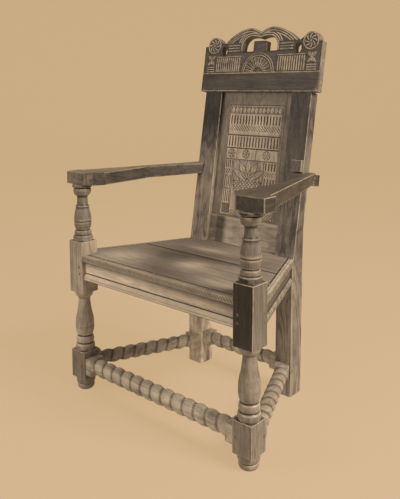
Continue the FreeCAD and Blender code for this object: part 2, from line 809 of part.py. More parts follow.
def front_seat_rail():
    body = new_body("front_rail_blank")
    padded(body, "YZ_Plane", [rail_outline(rail_top, rail_bottom)], inner_x * 2,
           offset=-inner_x)
    LEVEL.place(body, ZERO, front_y + size["rail_setback"])
    whole = fused("front_rail_whole", [body, box("front_tenons", LEVEL, *front_tenon)])
    return whole


def side_seat_rail():
    body = new_body("side_rail_blank")
    padded(body, "YZ_Plane", [rail_outline(rail_top, rail_bottom)],
           side_rail_length + size["post_side"] * 2, offset=-size["post_side"])
    SIDE_RAIL.place(body)
    clear_space = box("side_rail_space", LEVEL,
                      (ZERO, front_y + size["post_side"], ZERO), (outer_x, leg_y, rail_top))
    between = document.addObject("Part::Common", "side_rail_between")
    between.Base = body
    between.Tool = clear_space
    return fused("side_rail_whole", [between, box("side_tenons", SIDE_RAIL, *side_tenon)])


def rear_seat_rail():
    rail = box("rear_rail_blank", LEVEL, (-leg_inner_x, rear_rail_y, rail_bottom),
               (leg_inner_x, rear_rail_y + size["rear_rail_thickness"], rail_top))
    return fused("rear_rail_whole", [rail, box("rear_tenons", LEVEL, *rear_tenon)])


# Stretchers
def rope(name, frame, length, crest_radius):
    """A round bar with one rounded ridge winding along it, laid along the frame's X axis."""
    turns = max(1, round(length.number / size["rope_pitch"].number))
    pitch = length / turns
    core_radius = crest_radius - size["rope_groove"]
    spine = document.addObject("Part::Helix", name + "_spine")
    bind(spine, "Pitch", pitch)
    bind(spine, "Height", length + pitch * 2)
    bind(spine, "Radius", core_radius)
    section = document.addObject("Sketcher::SketchObject", name + "_section")
    section.Placement = FreeCAD.Placement(
        FreeCAD.Vector(), FreeCAD.Rotation(FreeCAD.Vector(1, 0, 0), 90))
    base = core_radius - size["rope_ridge_sink"]
    half_width = (pitch - size["rope_ridge_gap"]) / 2
    add_loop(section, [(base, -half_width, crest_radius - base), (base, half_width)])
    ridge = document.addObject("Part::Sweep", name + "_ridge")
    ridge.Sections = [section]
    ridge.Spine = (spine, [])
    ridge.Solid = True
    ridge.Frenet = True
    bind(ridge, "Placement.Base.z", -pitch)
    core = document.addObject("Part::Cylinder", name + "_core")
    bind(core, "Radius", core_radius)
    bind(core, "Height", length + pitch * 4)
    bind(core, "Placement.Base.z", -pitch * 2)
    space = document.addObject("Part::Cylinder", name + "_space")
    bind(space, "Radius", crest_radius * 2)
    bind(space, "Height", length)
    wound = document.addObject("Part::Common", name + "_wound")
    wound.Base = fused(name + "_long", [core, ridge])
    wound.Tool = space
    wound.Placement = FreeCAD.Placement(
        FreeCAD.Vector(), FreeCAD.Rotation(FreeCAD.Vector(0, 1, 0), 90))
    return frame.place(gathered(name + "_laid", [wound]), size["stretcher_block"])


def end_blocks(name, frame, length, side, overrun=ZERO):
    """The square block at each end of a stretcher."""
    half, block = side / 2, size["stretcher_block"]
    return [box(name + "_block_start", frame, (-overrun, -half, -half), (block, half, half)),
            box(name + "_block_end", frame, (length - block, -half, -half),
                (length + overrun, half, half))]


def level_stretcher(name, frame, length, crest_radius, side, tenon):
    """A stretcher that runs straight across the chair."""
    twist = rope(name + "_rope", frame, length - size["stretcher_block"] * 2, crest_radius)
    return fused(name + "_whole", [twist] + end_blocks(name, frame, length, side)
                 + [box(name + "_tenons", LEVEL, *tenon)])


def front_stretcher():
    frame = Frame(-inner_x, stretcher_y, size["stretcher_height"])
    return level_stretcher("front_stretcher", frame, inner_x * 2, size["front_rope_radius"],
                           size["front_block_side"], front_stretcher_tenon)


def rear_stretcher():
    frame = Frame(-leg_inner_x, rear_stretcher_y, size["rear_stretcher_height"])
    return level_stretcher("rear_stretcher", frame, leg_inner_x * 2, size["side_rope_radius"],
                           size["side_block_side"], rear_stretcher_tenon)


def side_stretcher():
    """A splayed stretcher, its end blocks cut to meet the post and the leg."""
    name, length = "side_stretcher", side_stretcher_length
    twist = rope(name + "_rope", SIDE_STRETCHER, length - size["stretcher_block"] * 2,
                 size["side_rope_radius"])
    side = size["side_block_side"]
    clear_space = box(name + "_space", LEVEL, (ZERO, front_y + size["post_side"], ZERO),
                      (outer_x, leg_y, rail_bottom))
    blocks = document.addObject("Part::Common", name + "_blocks")
    blocks.Base = gathered(name + "_square_blocks",
                           end_blocks(name, SIDE_STRETCHER, length, side, side))
    blocks.Tool = clear_space
    return fused(name + "_whole",
                 [twist, blocks, box(name + "_tenons", SIDE_STRETCHER, *side_stretcher_tenon)])


# Seat boards
board_bottom = rail_top
side_edge_front_x = side_rail_front_x + size["board_side_overhang"] / cosine(splay)
joint_y = front_y + size["board_joint"]
gap = size["board_gap"]


def side_edge_x(y):
    """Where the seat's side edge lies at a distance behind the posts' rear faces."""
    return side_edge_front_x - (y - front_y - size["post_side"]) * tangent(splay)


def board(name, right_side):
    """A seat board from the points of its right half."""
    left_side = [(-x, y) for x, y in reversed(right_side)]
    body = new_body(name)
    padded(body, "XY_Plane", [right_side + left_side], size["board_thickness"], offset=board_bottom)
    return body


def seat_board_front():
    behind_post = front_y + size["post_side"] + gap
    return board("board_front_blank", [
        (inner_x - gap, front_y + size["board_setback"]),
        (inner_x - gap, behind_post),
        (side_edge_x(behind_post), behind_post),
        (side_edge_x(joint_y), joint_y)])


def seat_board_rear():
    before_leg = leg_y - gap
    return board("board_rear_blank", [
        (side_edge_x(joint_y), joint_y),
        (side_edge_x(before_leg), before_leg),
        (leg_inner_x - gap, before_leg),
        (leg_inner_x - gap, leg_y + size["board_tail"])])


def board_pegs():
    """Pegs through the seat boards into the rails, and their holes, front then rear."""
    groups = {"front": [], "rear": []}
    front_rail_middle = front_y + size["rail_setback"] + size["rail_thickness"] / 2
    for number, share in enumerate(FRONT_BOARD_PEG_SHARES):
        groups["front"].append(("board_peg_front_" + str(number),
                                (inner_x * share, front_rail_middle)))
    for side, label in ((1, "right"), (-1, "left")):
        for group, y in (("front", front_y + size["post_side"] + size["board_peg_end_distance"]),
                         ("rear", leg_y - size["board_peg_end_distance"])):
            middle_x = (side_edge_x(y) - (size["board_side_overhang"] + size["rail_thickness"] / 2)
                        / cosine(splay))
            groups[group].append(("board_peg_" + group + "_" + label, (middle_x * side, y)))
        groups["rear"].append(("board_peg_tail_" + label,
                               (leg_inner_x * TAIL_PEG_SHARE * side,
                                rear_rail_y + size["rear_rail_thickness"] / 2)))
    made = {}
    for group, rows in groups.items():
        made[group] = [peg_and_hole(name, LEVEL, (x, y, size["seat_height"]),
                                    size["board_peg_length"], "-z") for name, (x, y) in rows]
    return made


# Back
def lower_back_rail():
    """The plain rail under the panel; its foot is cut level, on the seat."""
    body = new_body("back_rail_blank")
    inset, depth = size["back_rail_inset"], size["back_rail_thickness"]
    foot = size["seat_height"] - knee_height
    top = size["back_rail_top"]

    def at_foot(y):
        return y / cosine(rake) + foot * tangent(rake), foot

    def at_top(y):
        return y * cosine(rake) + top * sine(rake), top * cosine(rake) - y * sine(rake)

    outline = [at_foot(inset), at_foot(inset + depth), at_top(inset + depth), at_top(inset)]
    padded(body, "YZ_Plane", [outline], stile_inner_x * 2, offset=-stile_inner_x)
    LEVEL.place(body, ZERO, leg_y + size["knee_step"], knee_height)
    return fused("back_rail_whole", [body, box("back_rail_tenons", RAKED, *back_rail_tenon)])


def back_panel():
    """A board that fills the frame, with a thinner tongue all round for the grooves."""
    clear = size["panel_clearance"]
    field = box("panel_field", RAKED,
                (-stile_inner_x + clear, size["panel_inset"], size["back_rail_top"] + clear),
                (stile_inner_x - clear, size["panel_inset"] + size["panel_thickness"],
                 size["back_height"] - clear))
    return fused("panel_whole", [field, box("panel_tongue", RAKED, panel_low, panel_high)])


def crest_loops():
    """Front view of the crest and its piercings, each loop counter-clockwise."""
    half = size["crest_width"] / 2
    ear_x = half - size["ear_offset"]
    ear = size["ear_radius"]
    right = [
        (half, ZERO), (half, size["crest_shoulder"]),
        (ear_x + ear, size["crest_shoulder"]), (ear_x + ear, size["ear_height"], ear * QUARTER_ARC_SHARE),
        (ear_x, size["ear_height"] + ear, ear * SIXTH_ARC_SHARE),
        (ear_x - ear * EAR_COSINE_SHARE, size["ear_height"] + ear * EAR_SINE_SHARE),
        (size["valley_place"], size["valley_height"]),
        (size["arch_foot_place"], size["arch_foot_height"], size["arch_rise"]),
        (size["arch_peak_place"], size["arch_peak_height"], size["arch_inner_rise"]),
    ]
    outline = mirrored_loop(right, (ZERO, size["arch_dip_height"]))
    opening = [
        (size["opening_width"] / 2, size["opening_bottom"]),
        (size["opening_width"] / 2, size["opening_spring"], size["opening_rise"]),
        (size["opening_peak_place"], size["opening_peak_height"], size["opening_cusp_rise"]),
    ]
    opening = mirrored_loop(opening, (ZERO, size["opening_cusp_height"]))
    half_key = size["key_width"] / 2
    opening += [(-half_key, size["opening_bottom"]), (-half_key, size["key_height"]),
                (half_key, size["key_height"]), (half_key, size["opening_bottom"])]
    loops = [outline, opening]
    wide, tall = size["oval_half_width"], size["oval_half_height"]
    for side in (-1, 1):
        x, z = size["oval_place"] * side, size["oval_height"]
        loops.append([(x, z - tall, size["oval_rise"]), (x + wide, z, size["oval_rise"]),
                      (x, z + tall, size["oval_rise"]), (x - wide, z, size["oval_rise"])])
    return loops


def mirrored_loop(right, middle):
    """The points of a right half, a middle point, and the same half mirrored, bulges kept."""
    rows = [(row[0], row[1], row[2] if len(row) > 2 else ZERO) for row in right]
    bulges_back = [row[2] for row in rows[:-1]]
    left = [(-rows[-1][0], rows[-1][1], bulges_back[-1])]
    for index in range(len(rows) - 2, -1, -1):
        bulge = bulges_back[index - 1] if index > 0 else ZERO
        left.append((-rows[index][0], rows[index][1], bulge))
    return rows + [(middle[0], middle[1], rows[-1][2])] + left


def crest_rail():
    body = new_body("crest_blank")
    padded(body, "XZ_Plane", crest_loops(), size["crest_thickness"], backward=True)
    RAKED.place(body, ZERO, -size["crest_proud"], size["back_height"])
    mortise = box("crest_mortise", RAKED, *grown(*crest_tenon, ends=[(2, 1)]))
    groove = box("crest_groove", RAKED, *panel_groove)
    holes = crest_holes
    return less("crest_rail", body, [mortise, mirrored("crest_mortise_left", mortise), groove]
                + holes + [mirrored(hole.Name + "_left", hole) for hole in holes])


# Arms
def arm():
    """An arm in plan: a broad hand rest, a waist, and an end notched round the stile."""
    front_inner = arm_outer_x - size["arm_front_width"]
    grip_inner = arm_outer_x - size["arm_grip_width"]
    waist_inner = grip_inner + size["arm_waist_outward"]
    waist_y = arm_front_y + size["arm_waist_depth"]
    over = size["cut_overrun"]
    plan = [
        (front_inner, arm_front_y), (arm_outer_x, arm_front_y), (arm_outer_x, arm_step_y),
        (arm_outer_x - size["arm_outer_step"], arm_step_y),
        (leg_outer_x + size["arm_tongue_thickness"], arm_rear_y),
        (leg_outer_x - size["arm_shoulder"], arm_rear_y),
        (leg_outer_x - size["arm_shoulder"], stile_front_at_arm),
        (waist_inner + size["arm_inner_step"], waist_y), (waist_inner, waist_y),
        (grip_inner, arm_front_y + size["arm_clip_depth"], size["arm_clip_rise"]),
    ]
    body = new_body("arm_blank")
    padded(body, "XY_Plane", [plan], size["arm_thickness"], offset=size["arm_height"])
    taper = new_body("arm_taper")
    rise = size["arm_thickness"] - size["arm_rear_thickness"]
    wedge = [(waist_y, size["arm_height"]), (waist_y, size["arm_height"] - over),
             (arm_rear_y + over, size["arm_height"] - over), (arm_rear_y + over, size["arm_height"] + rise)]
    padded(taper, "YZ_Plane", [wedge], arm_outer_x)
    socket_depth = size["arm_pin_length"] + size["mortise_end_gap"]
    socket = cylinder("arm_socket", LEVEL, (post_x, stretcher_y, size["arm_height"] - over),
                      size["arm_pin_radius"] + size["joint_clearance"], socket_depth + over, "+z")
    notch_middle = (size["arm_height"] - knee_height) / cosine(rake)
    notch = box("arm_notch", RAKED, (ZERO, ZERO, notch_middle - size["arm_thickness"]),
                (leg_outer_x, size["stile_depth"] * 2, notch_middle + size["arm_thickness"] * 2))
    return less("arm_right", body, [taper, socket, notch] + arm_holes)


# Batten and block
def back_batten():
    half = leg_outer_x + size["batten_overhang"]
    return box("batten_blank", RAKED, (-half, size["stile_depth"], batten_bottom),
               (half, size["stile_depth"] + size["batten_depth"],
                batten_bottom + size["batten_height"]))


def arm_cleat():
    return box("cleat_blank", RAKED,
               (leg_outer_x - size["cleat_width"], -size["cleat_thickness"], cleat_bottom),
               (leg_outer_x, ZERO, cleat_bottom + size["cleat_height"]))


def both_sides(shapes):
    return shapes + [mirrored(shape.Name + "_left", shape) for shape in shapes]


nodes = {}
nodes["front_post_right"] = front_post()
nodes["front_post_left"] = mirrored("front_post_left", nodes["front_post_right"])

stile_whole, stile_tools, stile_holes = rear_stile()
stile_common = less("stile_common", stile_whole, stile_tools + stile_holes)
nodes["rear_stile_left"] = mirrored("rear_stile_left", stile_common)
nodes["rear_stile_right"] = less("rear_stile_right", stile_common, cleat_holes)

board_made = board_pegs()
front_board_holes = [hole for _, hole in board_made["front"]]
rear_board_holes = [hole for _, hole in board_made["rear"]]
nodes["front_seat_rail"] = less("front_seat_rail", front_seat_rail(),
                                both_sides(post_holes) + front_board_holes)
nodes["rear_seat_rail"] = less("rear_seat_rail", rear_seat_rail(),
                               both_sides(leg_holes) + rear_board_holes)
nodes["side_seat_rail_right"] = less("side_seat_rail_right", side_seat_rail(),
                                     post_holes + leg_holes + front_board_holes + rear_board_holes)
nodes["side_seat_rail_left"] = mirrored("side_seat_rail_left", nodes["side_seat_rail_right"])

nodes["front_stretcher"] = less("front_stretcher", front_stretcher(), both_sides(stretcher_holes))
nodes["rear_stretcher"] = less("rear_stretcher", rear_stretcher(), both_sides(leg_stretcher_holes))
nodes["side_stretcher_right"] = less("side_stretcher_right", side_stretcher(),
                                     stretcher_holes + leg_stretcher_holes)
nodes["side_stretcher_left"] = mirrored("side_stretcher_left", nodes["side_stretcher_right"])

nodes["seat_board_front"] = less("seat_board_front", seat_board_front(), front_board_holes)
nodes["seat_board_rear"] = less("seat_board_rear", seat_board_rear(), rear_board_holes)
nodes["seat_board_pegs"] = gathered(
    "seat_board_pegs", [peg for peg, _ in board_made["front"] + board_made["rear"]])

nodes["lower_back_rail"] = less("lower_back_rail", lower_back_rail(),
                                both_sides(back_holes) + [box("back_rail_groove", RAKED, *panel_groove)])
nodes["back_panel"] = less("back_panel", back_panel(), both_sides(batten_holes))
nodes["crest_rail"] = crest_rail()

nodes["arm_right"] = arm()
nodes["arm_left"] = mirrored("arm_left", nodes["arm_right"])
nodes["back_batten"] = less("back_batten", back_batten(), both_sides(batten_holes))
nodes["arm_cleat_right"] = less("arm_cleat_right", arm_cleat(), cleat_holes)

nodes["seat_rail_pegs"] = gathered("seat_rail_pegs", both_sides(post_pegs + leg_pegs))
nodes["stretcher_pegs"] = gathered("stretcher_pegs", both_sides(stretcher_pegs + leg_stretcher_pegs))
nodes["back_rail_pegs"] = gathered("back_rail_pegs", both_sides(back_pegs))
nodes["crest_pegs"] = gathered("crest_pegs", both_sides(crest_pegs))
nodes["arm_pegs"] = gathered("arm_pegs", both_sides(arm_pegs))
nodes["batten_pegs"] = gathered("batten_pegs", both_sides(batten_pegs))
nodes["cleat_pegs"] = gathered("cleat_pegs", cleat_pegs)

document.recompute()

# Faults are looked for before anything is written
faults = []
for thing in document.Objects:
    if "Invalid" in thing.State or "Error" in thing.State:
        faults.append(thing.Name + " failed")
for name, thing in nodes.items():
    thing.Label = name
    if thing.Shape.isNull() or not thing.Shape.isValid():
        faults.append(name + " has no valid shape")
    elif len(thing.Shape.Solids) == 0:
        faults.append(name + " has no solid")
if faults:
    raise RuntimeError("; ".join(faults))

os.makedirs("parts", exist_ok=True)
for name, thing in nodes.items():
    thing.Shape.exportStep("parts/" + name + ".step")
    print(name, len(thing.Shape.Solids), round(thing.Shape.Volume))
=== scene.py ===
import math

import bmesh
import bpy
import numpy as np
from mathutils import Matrix, Vector, kdtree


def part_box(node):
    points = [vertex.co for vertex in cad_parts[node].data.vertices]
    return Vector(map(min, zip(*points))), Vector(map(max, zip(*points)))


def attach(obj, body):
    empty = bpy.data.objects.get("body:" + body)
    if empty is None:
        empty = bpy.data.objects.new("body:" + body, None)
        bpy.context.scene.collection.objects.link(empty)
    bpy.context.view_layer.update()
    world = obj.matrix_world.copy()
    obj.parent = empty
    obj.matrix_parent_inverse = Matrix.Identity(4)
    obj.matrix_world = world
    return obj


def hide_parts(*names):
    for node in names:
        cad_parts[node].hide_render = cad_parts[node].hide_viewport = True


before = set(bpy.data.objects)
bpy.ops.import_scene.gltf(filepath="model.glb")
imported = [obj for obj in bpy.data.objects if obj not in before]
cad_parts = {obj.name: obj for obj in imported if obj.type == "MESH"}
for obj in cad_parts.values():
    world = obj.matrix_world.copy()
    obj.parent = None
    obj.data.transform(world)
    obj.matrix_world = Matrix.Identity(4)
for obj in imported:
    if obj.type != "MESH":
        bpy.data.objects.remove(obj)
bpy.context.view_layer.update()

# Lengths with MM in them are metres, like the places of fades, lamps and the floor.
# The others are millimetres.
MM = 0.001
# Axes that a fade can follow
ACROSS, UPWARD = 0, 2

# Camera, fitted to the corners of the chair in the photograph
CAMERA_PLACE = (1178.3 * MM, -1401.8 * MM, 926.8 * MM)
CAMERA_TURN = 41.24
CAMERA_DIP = 6.45
CAMERA_FOCAL_PIXELS = 620.9
CAMERA_SHIFT = -0.18
PICTURE_HEIGHT = 499
SENSOR = 36

# The leaning back: its origin is the knee of the stiles, on their front faces
RAKE = math.radians(9.5)
KNEE_SETBACK = 397 * MM
KNEE_HEIGHT = 440 * MM
BACK_HEIGHT = 487
CREST_PROUD = 4
PANEL_FACE = 14

SEAT_TOP = 430
POST_SIDE = 60
RAIL_SETBACK = 6 * MM
LEG_SETBACK = 388 * MM
LEG_MIDDLE = 178 * MM
STRETCHER_HEIGHT = 80 * MM
REAR_STRETCHER_HEIGHT = 90 * MM
FRONT_ROPE_RADIUS = 25 * MM
SIDE_ROPE_RADIUS = 22 * MM
ROPE_GROOVE = 4 * MM

front_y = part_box("front_seat_rail")[0].y - RAIL_SETBACK
TO_BACK = Matrix.Translation((0, front_y + KNEE_SETBACK, KNEE_HEIGHT)) @ Matrix.Rotation(-RAKE, 4, "X")
LEVEL = Matrix.Identity(4)


def linear(red, green, blue):
    """A colour written as 0 to 255 sRGB, as the shader wants it."""
    def part(value):
        value /= 255
        return value / 12.92 if value <= 0.04045 else ((value + 0.055) / 1.055) ** 2.4
    return part(red), part(green), part(blue), 1.0


def shade(colour, tone):
    return tuple(channel * tone for channel in colour[:3]) + (1.0,)


# Colours of the aged oak, the floor and the paper; the oak's ground colour is painted shade for the sunk
# grounds
OAK_MID = linear(123, 107, 88)
OAK_DARK = linear(72, 61, 51)
OAK_LIGHT = linear(166, 147, 121)
OAK_WORN = linear(190, 166, 132)
OAK_GROUND_SHADE = linear(44, 37, 32)
FLOOR_COLOUR = linear(198, 189, 177)
PAPER_COLOUR = linear(209, 177, 134)

# Gloss of the wax, number of growth rings, and how fine each noise is
OAK_GLOSS = 0.22
RING_COUNT = 85
GRAIN_STRETCH = {"x": (1, 14, 14), "y": (14, 1, 14), "z": (14, 14, 1)}
FIGURE_SCALE, STREAK_SCALE, RING_SCALE, PORE_SCALE = 5, 9, 2.2, 42
STAIN_SCALE, PATCH_SCALE = 9, 45
GRAIN_RELIEF = 0.8 * MM

# Values of the wear and shade attribute: a sunk ground painted dark as shade, plain wood and a rubbed edge
SUNK_SHADE, PLAIN, RUBBED = 0.0, 0.5, 1.0
# How strongly a turned part's ridges are lightened as wear and painted highlight and its hollows painted
# dark as shade, down to what, and the small even lift of its tone
TURNED_WEAR_AND_SHADE, LEAST_WEAR_AND_SHADE = 3.2, 0.05
TURNED_TONE_LIFT = 0.05


# Node graphs
class Graph:
    """A material and short ways to add its nodes."""

    def __init__(self, name):
        self.material = bpy.data.materials.new(name)
        self.material.use_nodes = True
        self.tree = self.material.node_tree
        self.tree.nodes.clear()
        self.output = self.tree.nodes.new("ShaderNodeOutputMaterial")
        self.shader = self.tree.nodes.new("ShaderNodeBsdfPrincipled")
        self.join(self.shader.outputs[0], self.output.inputs["Surface"])
        coordinates = self.tree.nodes.new("ShaderNodeTexCoord")
        self.place = coordinates.outputs["Object"]

    def join(self, source, target):
        if isinstance(source, bpy.types.NodeSocket):
            self.tree.links.new(source, target)
        else:
            target.default_value = source

    def stretched(self, scale, turn=(0, 0, 0)):
        node = self.tree.nodes.new("ShaderNodeMapping")
        node.inputs["Rotation"].default_value = turn
        node.inputs["Scale"].default_value = scale
        self.join(self.place, node.inputs["Vector"])
        return node.outputs[0]

    def noise(self, vector, scale, detail=4, roughness=0.55, distortion=0.0):
        node = self.tree.nodes.new("ShaderNodeTexNoise")
        self.join(vector, node.inputs["Vector"])
        node.inputs["Scale"].default_value = scale
        node.inputs["Detail"].default_value = detail
        node.inputs["Roughness"].default_value = roughness
        node.inputs["Distortion"].default_value = distortion
        return node.outputs[0]

    def ramp(self, value, low, high, start=0.0, end=1.0):
        node = self.tree.nodes.new("ShaderNodeMapRange")
        node.interpolation_type = "SMOOTHSTEP"
        self.join(value, node.inputs["Value"])
        for name, number in zip(("From Min", "From Max", "To Min", "To Max"), (low, high, start, end)):
            node.inputs[name].default_value = number
        return node.outputs[0]

    def axis(self, number):
        node = self.tree.nodes.new("ShaderNodeSeparateXYZ")
        self.join(self.place, node.inputs[0])
        return node.outputs[number]

    def scaled(self, colour, factor):
        node = self.tree.nodes.new("ShaderNodeVectorMath")
        node.operation = "SCALE"
        self.join(colour, node.inputs[0])
        self.join(factor, node.inputs["Scale"])
        return node.outputs[0]

    def sum(self, operation, first, second):
        node = self.tree.nodes.new("ShaderNodeMath")
        node.operation = operation
        self.join(first, node.inputs[0])
        self.join(second, node.inputs[1])
        return node.outputs[0]

    def mix(self, share, first, second):
        node = self.tree.nodes.new("ShaderNodeMix")
        node.data_type = "RGBA"
        self.join(share, node.inputs[0])
        self.join(first, node.inputs[6])
        self.join(second, node.inputs[7])
        return node.outputs[2]

    def attribute(self, name):
        node = self.tree.nodes.new("ShaderNodeAttribute")
        node.attribute_name = name
        return node.outputs["Fac"]

    def bump(self, height, strength, distance):
        node = self.tree.nodes.new("ShaderNodeBump")
        node.inputs["Strength"].default_value = strength
        node.inputs["Distance"].default_value = distance
        self.join(height, node.inputs["Height"])
        return node.outputs[0]


def oak(name, grain, tone=1.0, lean=0.0, worn=0.4, roughness=0.5, fades=(), rings=0.35, streaky=1.0):
    """Aged waxed oak: figure and growth rings along the grain, streaks, stains, worn arrises, and sunk
    grounds painted dark as shade.

    Each fade is an axis and, from a low to a high place on it in metres, how the tone changes.
    """
    graph = Graph(name)

    def squeezed(fineness):
        """The place squeezed across the grain, so that spots of noise become lines along it."""
        scale = [side if side == 1 else side * fineness for side in GRAIN_STRETCH[grain]]
        return graph.stretched(scale, (lean, 0, 0))

    figure = graph.noise(squeezed(1), FIGURE_SCALE, 5, 0.6, 0.6)
    streaks = graph.noise(squeezed(3.2), STREAK_SCALE, 6, 0.7, 0.2)
    broad = graph.noise(squeezed(0.45), RING_SCALE, 1, 0.4, 0.3)
    lines = graph.sum("SINE", graph.sum("MULTIPLY", broad, RING_COUNT), 0)
    stains = graph.noise(graph.place, STAIN_SCALE, 5, 0.65, 0.3)
    patches = graph.noise(graph.place, PATCH_SCALE, 3, 0.6, 0.4)
    pores = graph.noise(squeezed(1.6), PORE_SCALE, 2, 0.5)
    open_pores = graph.ramp(pores, 0.56, 0.68)
    wear_and_shade = graph.attribute("wear_and_shade")

    half = 0.5 * streaky
    colour = graph.mix(graph.ramp(figure, 0.3, 0.7, 0.5 - half, 0.5 + half), OAK_DARK, OAK_MID)
    # Layers over it: what drives each, where it starts and is full, how strong and in which colour
    layers = (
        (streaks, 0.5, 0.78, 0.75 * streaky, OAK_LIGHT),
        (lines, 0.1, 0.95, rings, OAK_DARK),
        (streaks, 0.42, 0.2, 0.7 * streaky, shade(OAK_DARK, 0.7)),
        (stains, 0.35, 0.7, 0.35 * streaky, OAK_LIGHT),
    )
    for driver, start, full, strength, layer in layers:
        colour = graph.mix(graph.ramp(driver, start, full, 0, strength), colour, layer)
    colour = graph.mix(graph.sum("MULTIPLY", open_pores, 0.45), colour, shade(OAK_DARK, 0.6))

    # The tone is scaled by the painted light and patina attribute and by the fades
    factor = graph.sum("MULTIPLY", graph.sum("ADD", graph.attribute("painted_light_and_patina"), 1.0), tone)
    for number, low, high, start, end in fades:
        factor = graph.sum("MULTIPLY", factor, graph.ramp(graph.axis(number), low, high, start, end))
    colour = graph.scaled(colour, factor)

    rubbed = graph.ramp(wear_and_shade, 0.55, RUBBED, 0, worn)
    rubbed = graph.sum("MULTIPLY", rubbed, graph.ramp(patches, 0.36, 0.58, 0.3, 1))
    colour = graph.mix(rubbed, colour, OAK_WORN)
    # Low values of the wear and shade attribute paint the sunk grounds dark as shade
    colour = graph.mix(graph.ramp(wear_and_shade, 0.45, SUNK_SHADE, 0, 0.92), colour, OAK_GROUND_SHADE)
    graph.join(colour, graph.shader.inputs["Base Color"])

    dull = graph.ramp(streaks, 0.3, 0.7, roughness + 0.12, roughness - 0.08)
    graph.join(dull, graph.shader.inputs["Roughness"])
    graph.shader.inputs["Specular IOR Level"].default_value = OAK_GLOSS
    height = graph.sum("ADD", graph.sum("MULTIPLY", streaks, 0.6), figure)
    height = graph.sum("SUBTRACT", height, graph.sum("MULTIPLY", open_pores, 0.4))
    graph.join(graph.bump(height, 0.35, GRAIN_RELIEF), graph.shader.inputs["Normal"])
    return graph.material


# Mesh helpers
def middle(node):
    """The middle of a node's box."""
    low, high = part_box(node)
    return (low + high) / 2


def copied(node):
    """A copy of a frame node's mesh with its seams welded, as a new piece."""
    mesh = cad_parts[node].data.copy()
    mesh.materials.clear()
    piece = bpy.data.objects.new(node + "_oak", mesh)
    bpy.context.scene.collection.objects.link(piece)
    shape = bmesh.new()
    shape.from_mesh(mesh)
    bmesh.ops.remove_doubles(shape, verts=shape.verts, dist=0.002 * MM)
    shape.to_mesh(mesh)
    shape.free()
    return piece


def applied(piece):
    """The piece with its modifiers made part of its mesh."""
    bpy.context.view_layer.update()
    depsgraph = bpy.context.evaluated_depsgraph_get()
    mesh = bpy.data.meshes.new_from_object(piece.evaluated_get(depsgraph))
    piece.modifiers.clear()
    old = piece.data
    piece.data = mesh
    bpy.data.meshes.remove(old)
    return piece


def placed(piece, node, material):
    """Finish a piece: its material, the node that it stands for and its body."""
    piece.data.materials.clear()
    piece.data.materials.append(material)
    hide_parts(node)
    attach(piece, "root")


def bend_at(vertex):
    """How far the surface rises beside a point: over 0 in a hollow, under 0 on a ridge."""
    rises = []
    for edge in vertex.link_edges:
        aside = edge.other_vert(vertex).co - vertex.co
        rises.append(aside.normalized().dot(vertex.normal))
    return sum(rises) / max(len(rises), 1)


# From how sharp an angle an edge is an arris, and stays a crease once it is rounded
ARRIS_ANGLE = math.radians(38)
CREASE_ANGLE = math.radians(42)
ROPE_CREASE_ANGLE = math.radians(35)
CARVED_CREASE_ANGLE = math.radians(60)


def softened(node, width, shortest=9 * MM, steps=3, painted_light_and_patina=None, turned_about=None):
    """A copy of a node whose long square arrises are rounded, with wear and painted light and shade marked
    on its faces.
    """
    piece = copied(node)
    mesh = piece.data
    shape = bmesh.new()
    shape.from_mesh(mesh)
    bmesh.ops.dissolve_limit(shape, angle_limit=math.radians(1), verts=shape.verts, edges=shape.edges)
    arrises = []
    for edge in shape.edges:
        if len(edge.link_faces) == 2 and edge.calc_length() > shortest:
            if edge.calc_face_angle_signed() > ARRIS_ANGLE:
                arrises.append(edge)
    done = bmesh.ops.bevel(
        shape, geom=arrises, offset=width, offset_type="OFFSET", segments=steps, profile=0.5,
        affect="EDGES", clamp_overlap=False)
    worn = set(done["faces"])
    shape.normal_update()
    bends = {}
    if turned_about is not None:
        for vertex in shape.verts:
            reach = math.hypot(vertex.co.x - turned_about[0], vertex.co.y - turned_about[1])
            if reach < POST_SIDE / 2 * MM - width:
                bends[vertex] = bend_at(vertex)
    wear_and_shade = shape.loops.layers.float.new("wear_and_shade")
    tone = shape.loops.layers.float.new("painted_light_and_patina")
    # Flat faces get the painted light and shade of the way they look and turned faces a small even lift;
    # turned hollows are painted dark as shade and ridges lighter
    for face in shape.faces:
        value = RUBBED if face in worn else PLAIN
        flat = not any(vertex in bends for vertex in face.verts)
        change = painted_light_and_patina(face.normal, face.calc_center_median()) if painted_light_and_patina and flat else 0.0
        change = change if flat else TURNED_TONE_LIFT
        face.smooth = True
        for loop in face.loops:
            loop[wear_and_shade] = min(max(value - TURNED_WEAR_AND_SHADE * bends.get(loop.vert, 0.0), LEAST_WEAR_AND_SHADE), RUBBED)
            loop[tone] = change
    shape.to_mesh(mesh)
    shape.free()
    mesh.set_sharp_from_angle(angle=CREASE_ANGLE)
    weighted = piece.modifiers.new("weighted", "WEIGHTED_NORMAL")
    weighted.keep_sharp = True
    return applied(piece)


def facing(front=0.0, right=0.0, top=0.0, limit=0.0, low_front=0.0, low_right=0.0):
    """Painted light and shade for the faces that look to the front, to the right and up, and others below a
    limit.
    """
    def painted_light_and_patina(normal, centre):
        low = centre.z < limit
        if normal.y < -0.9:
            return low_front if low else front
        if normal.x > 0.8:
            return low_right if low else right
        return top if normal.z > 0.9 else 0.0
    return painted_light_and_patina


def points_of(mesh):
    points = np.empty(len(mesh.vertices) * 3, np.float32)
    mesh.vertices.foreach_get("co", points)
    return points.reshape(-1, 3).astype(float)


def set_points(mesh, points):
    mesh.vertices.foreach_set("co", points.astype(np.float32).ravel())
    mesh.update()
    mesh.update_tag()


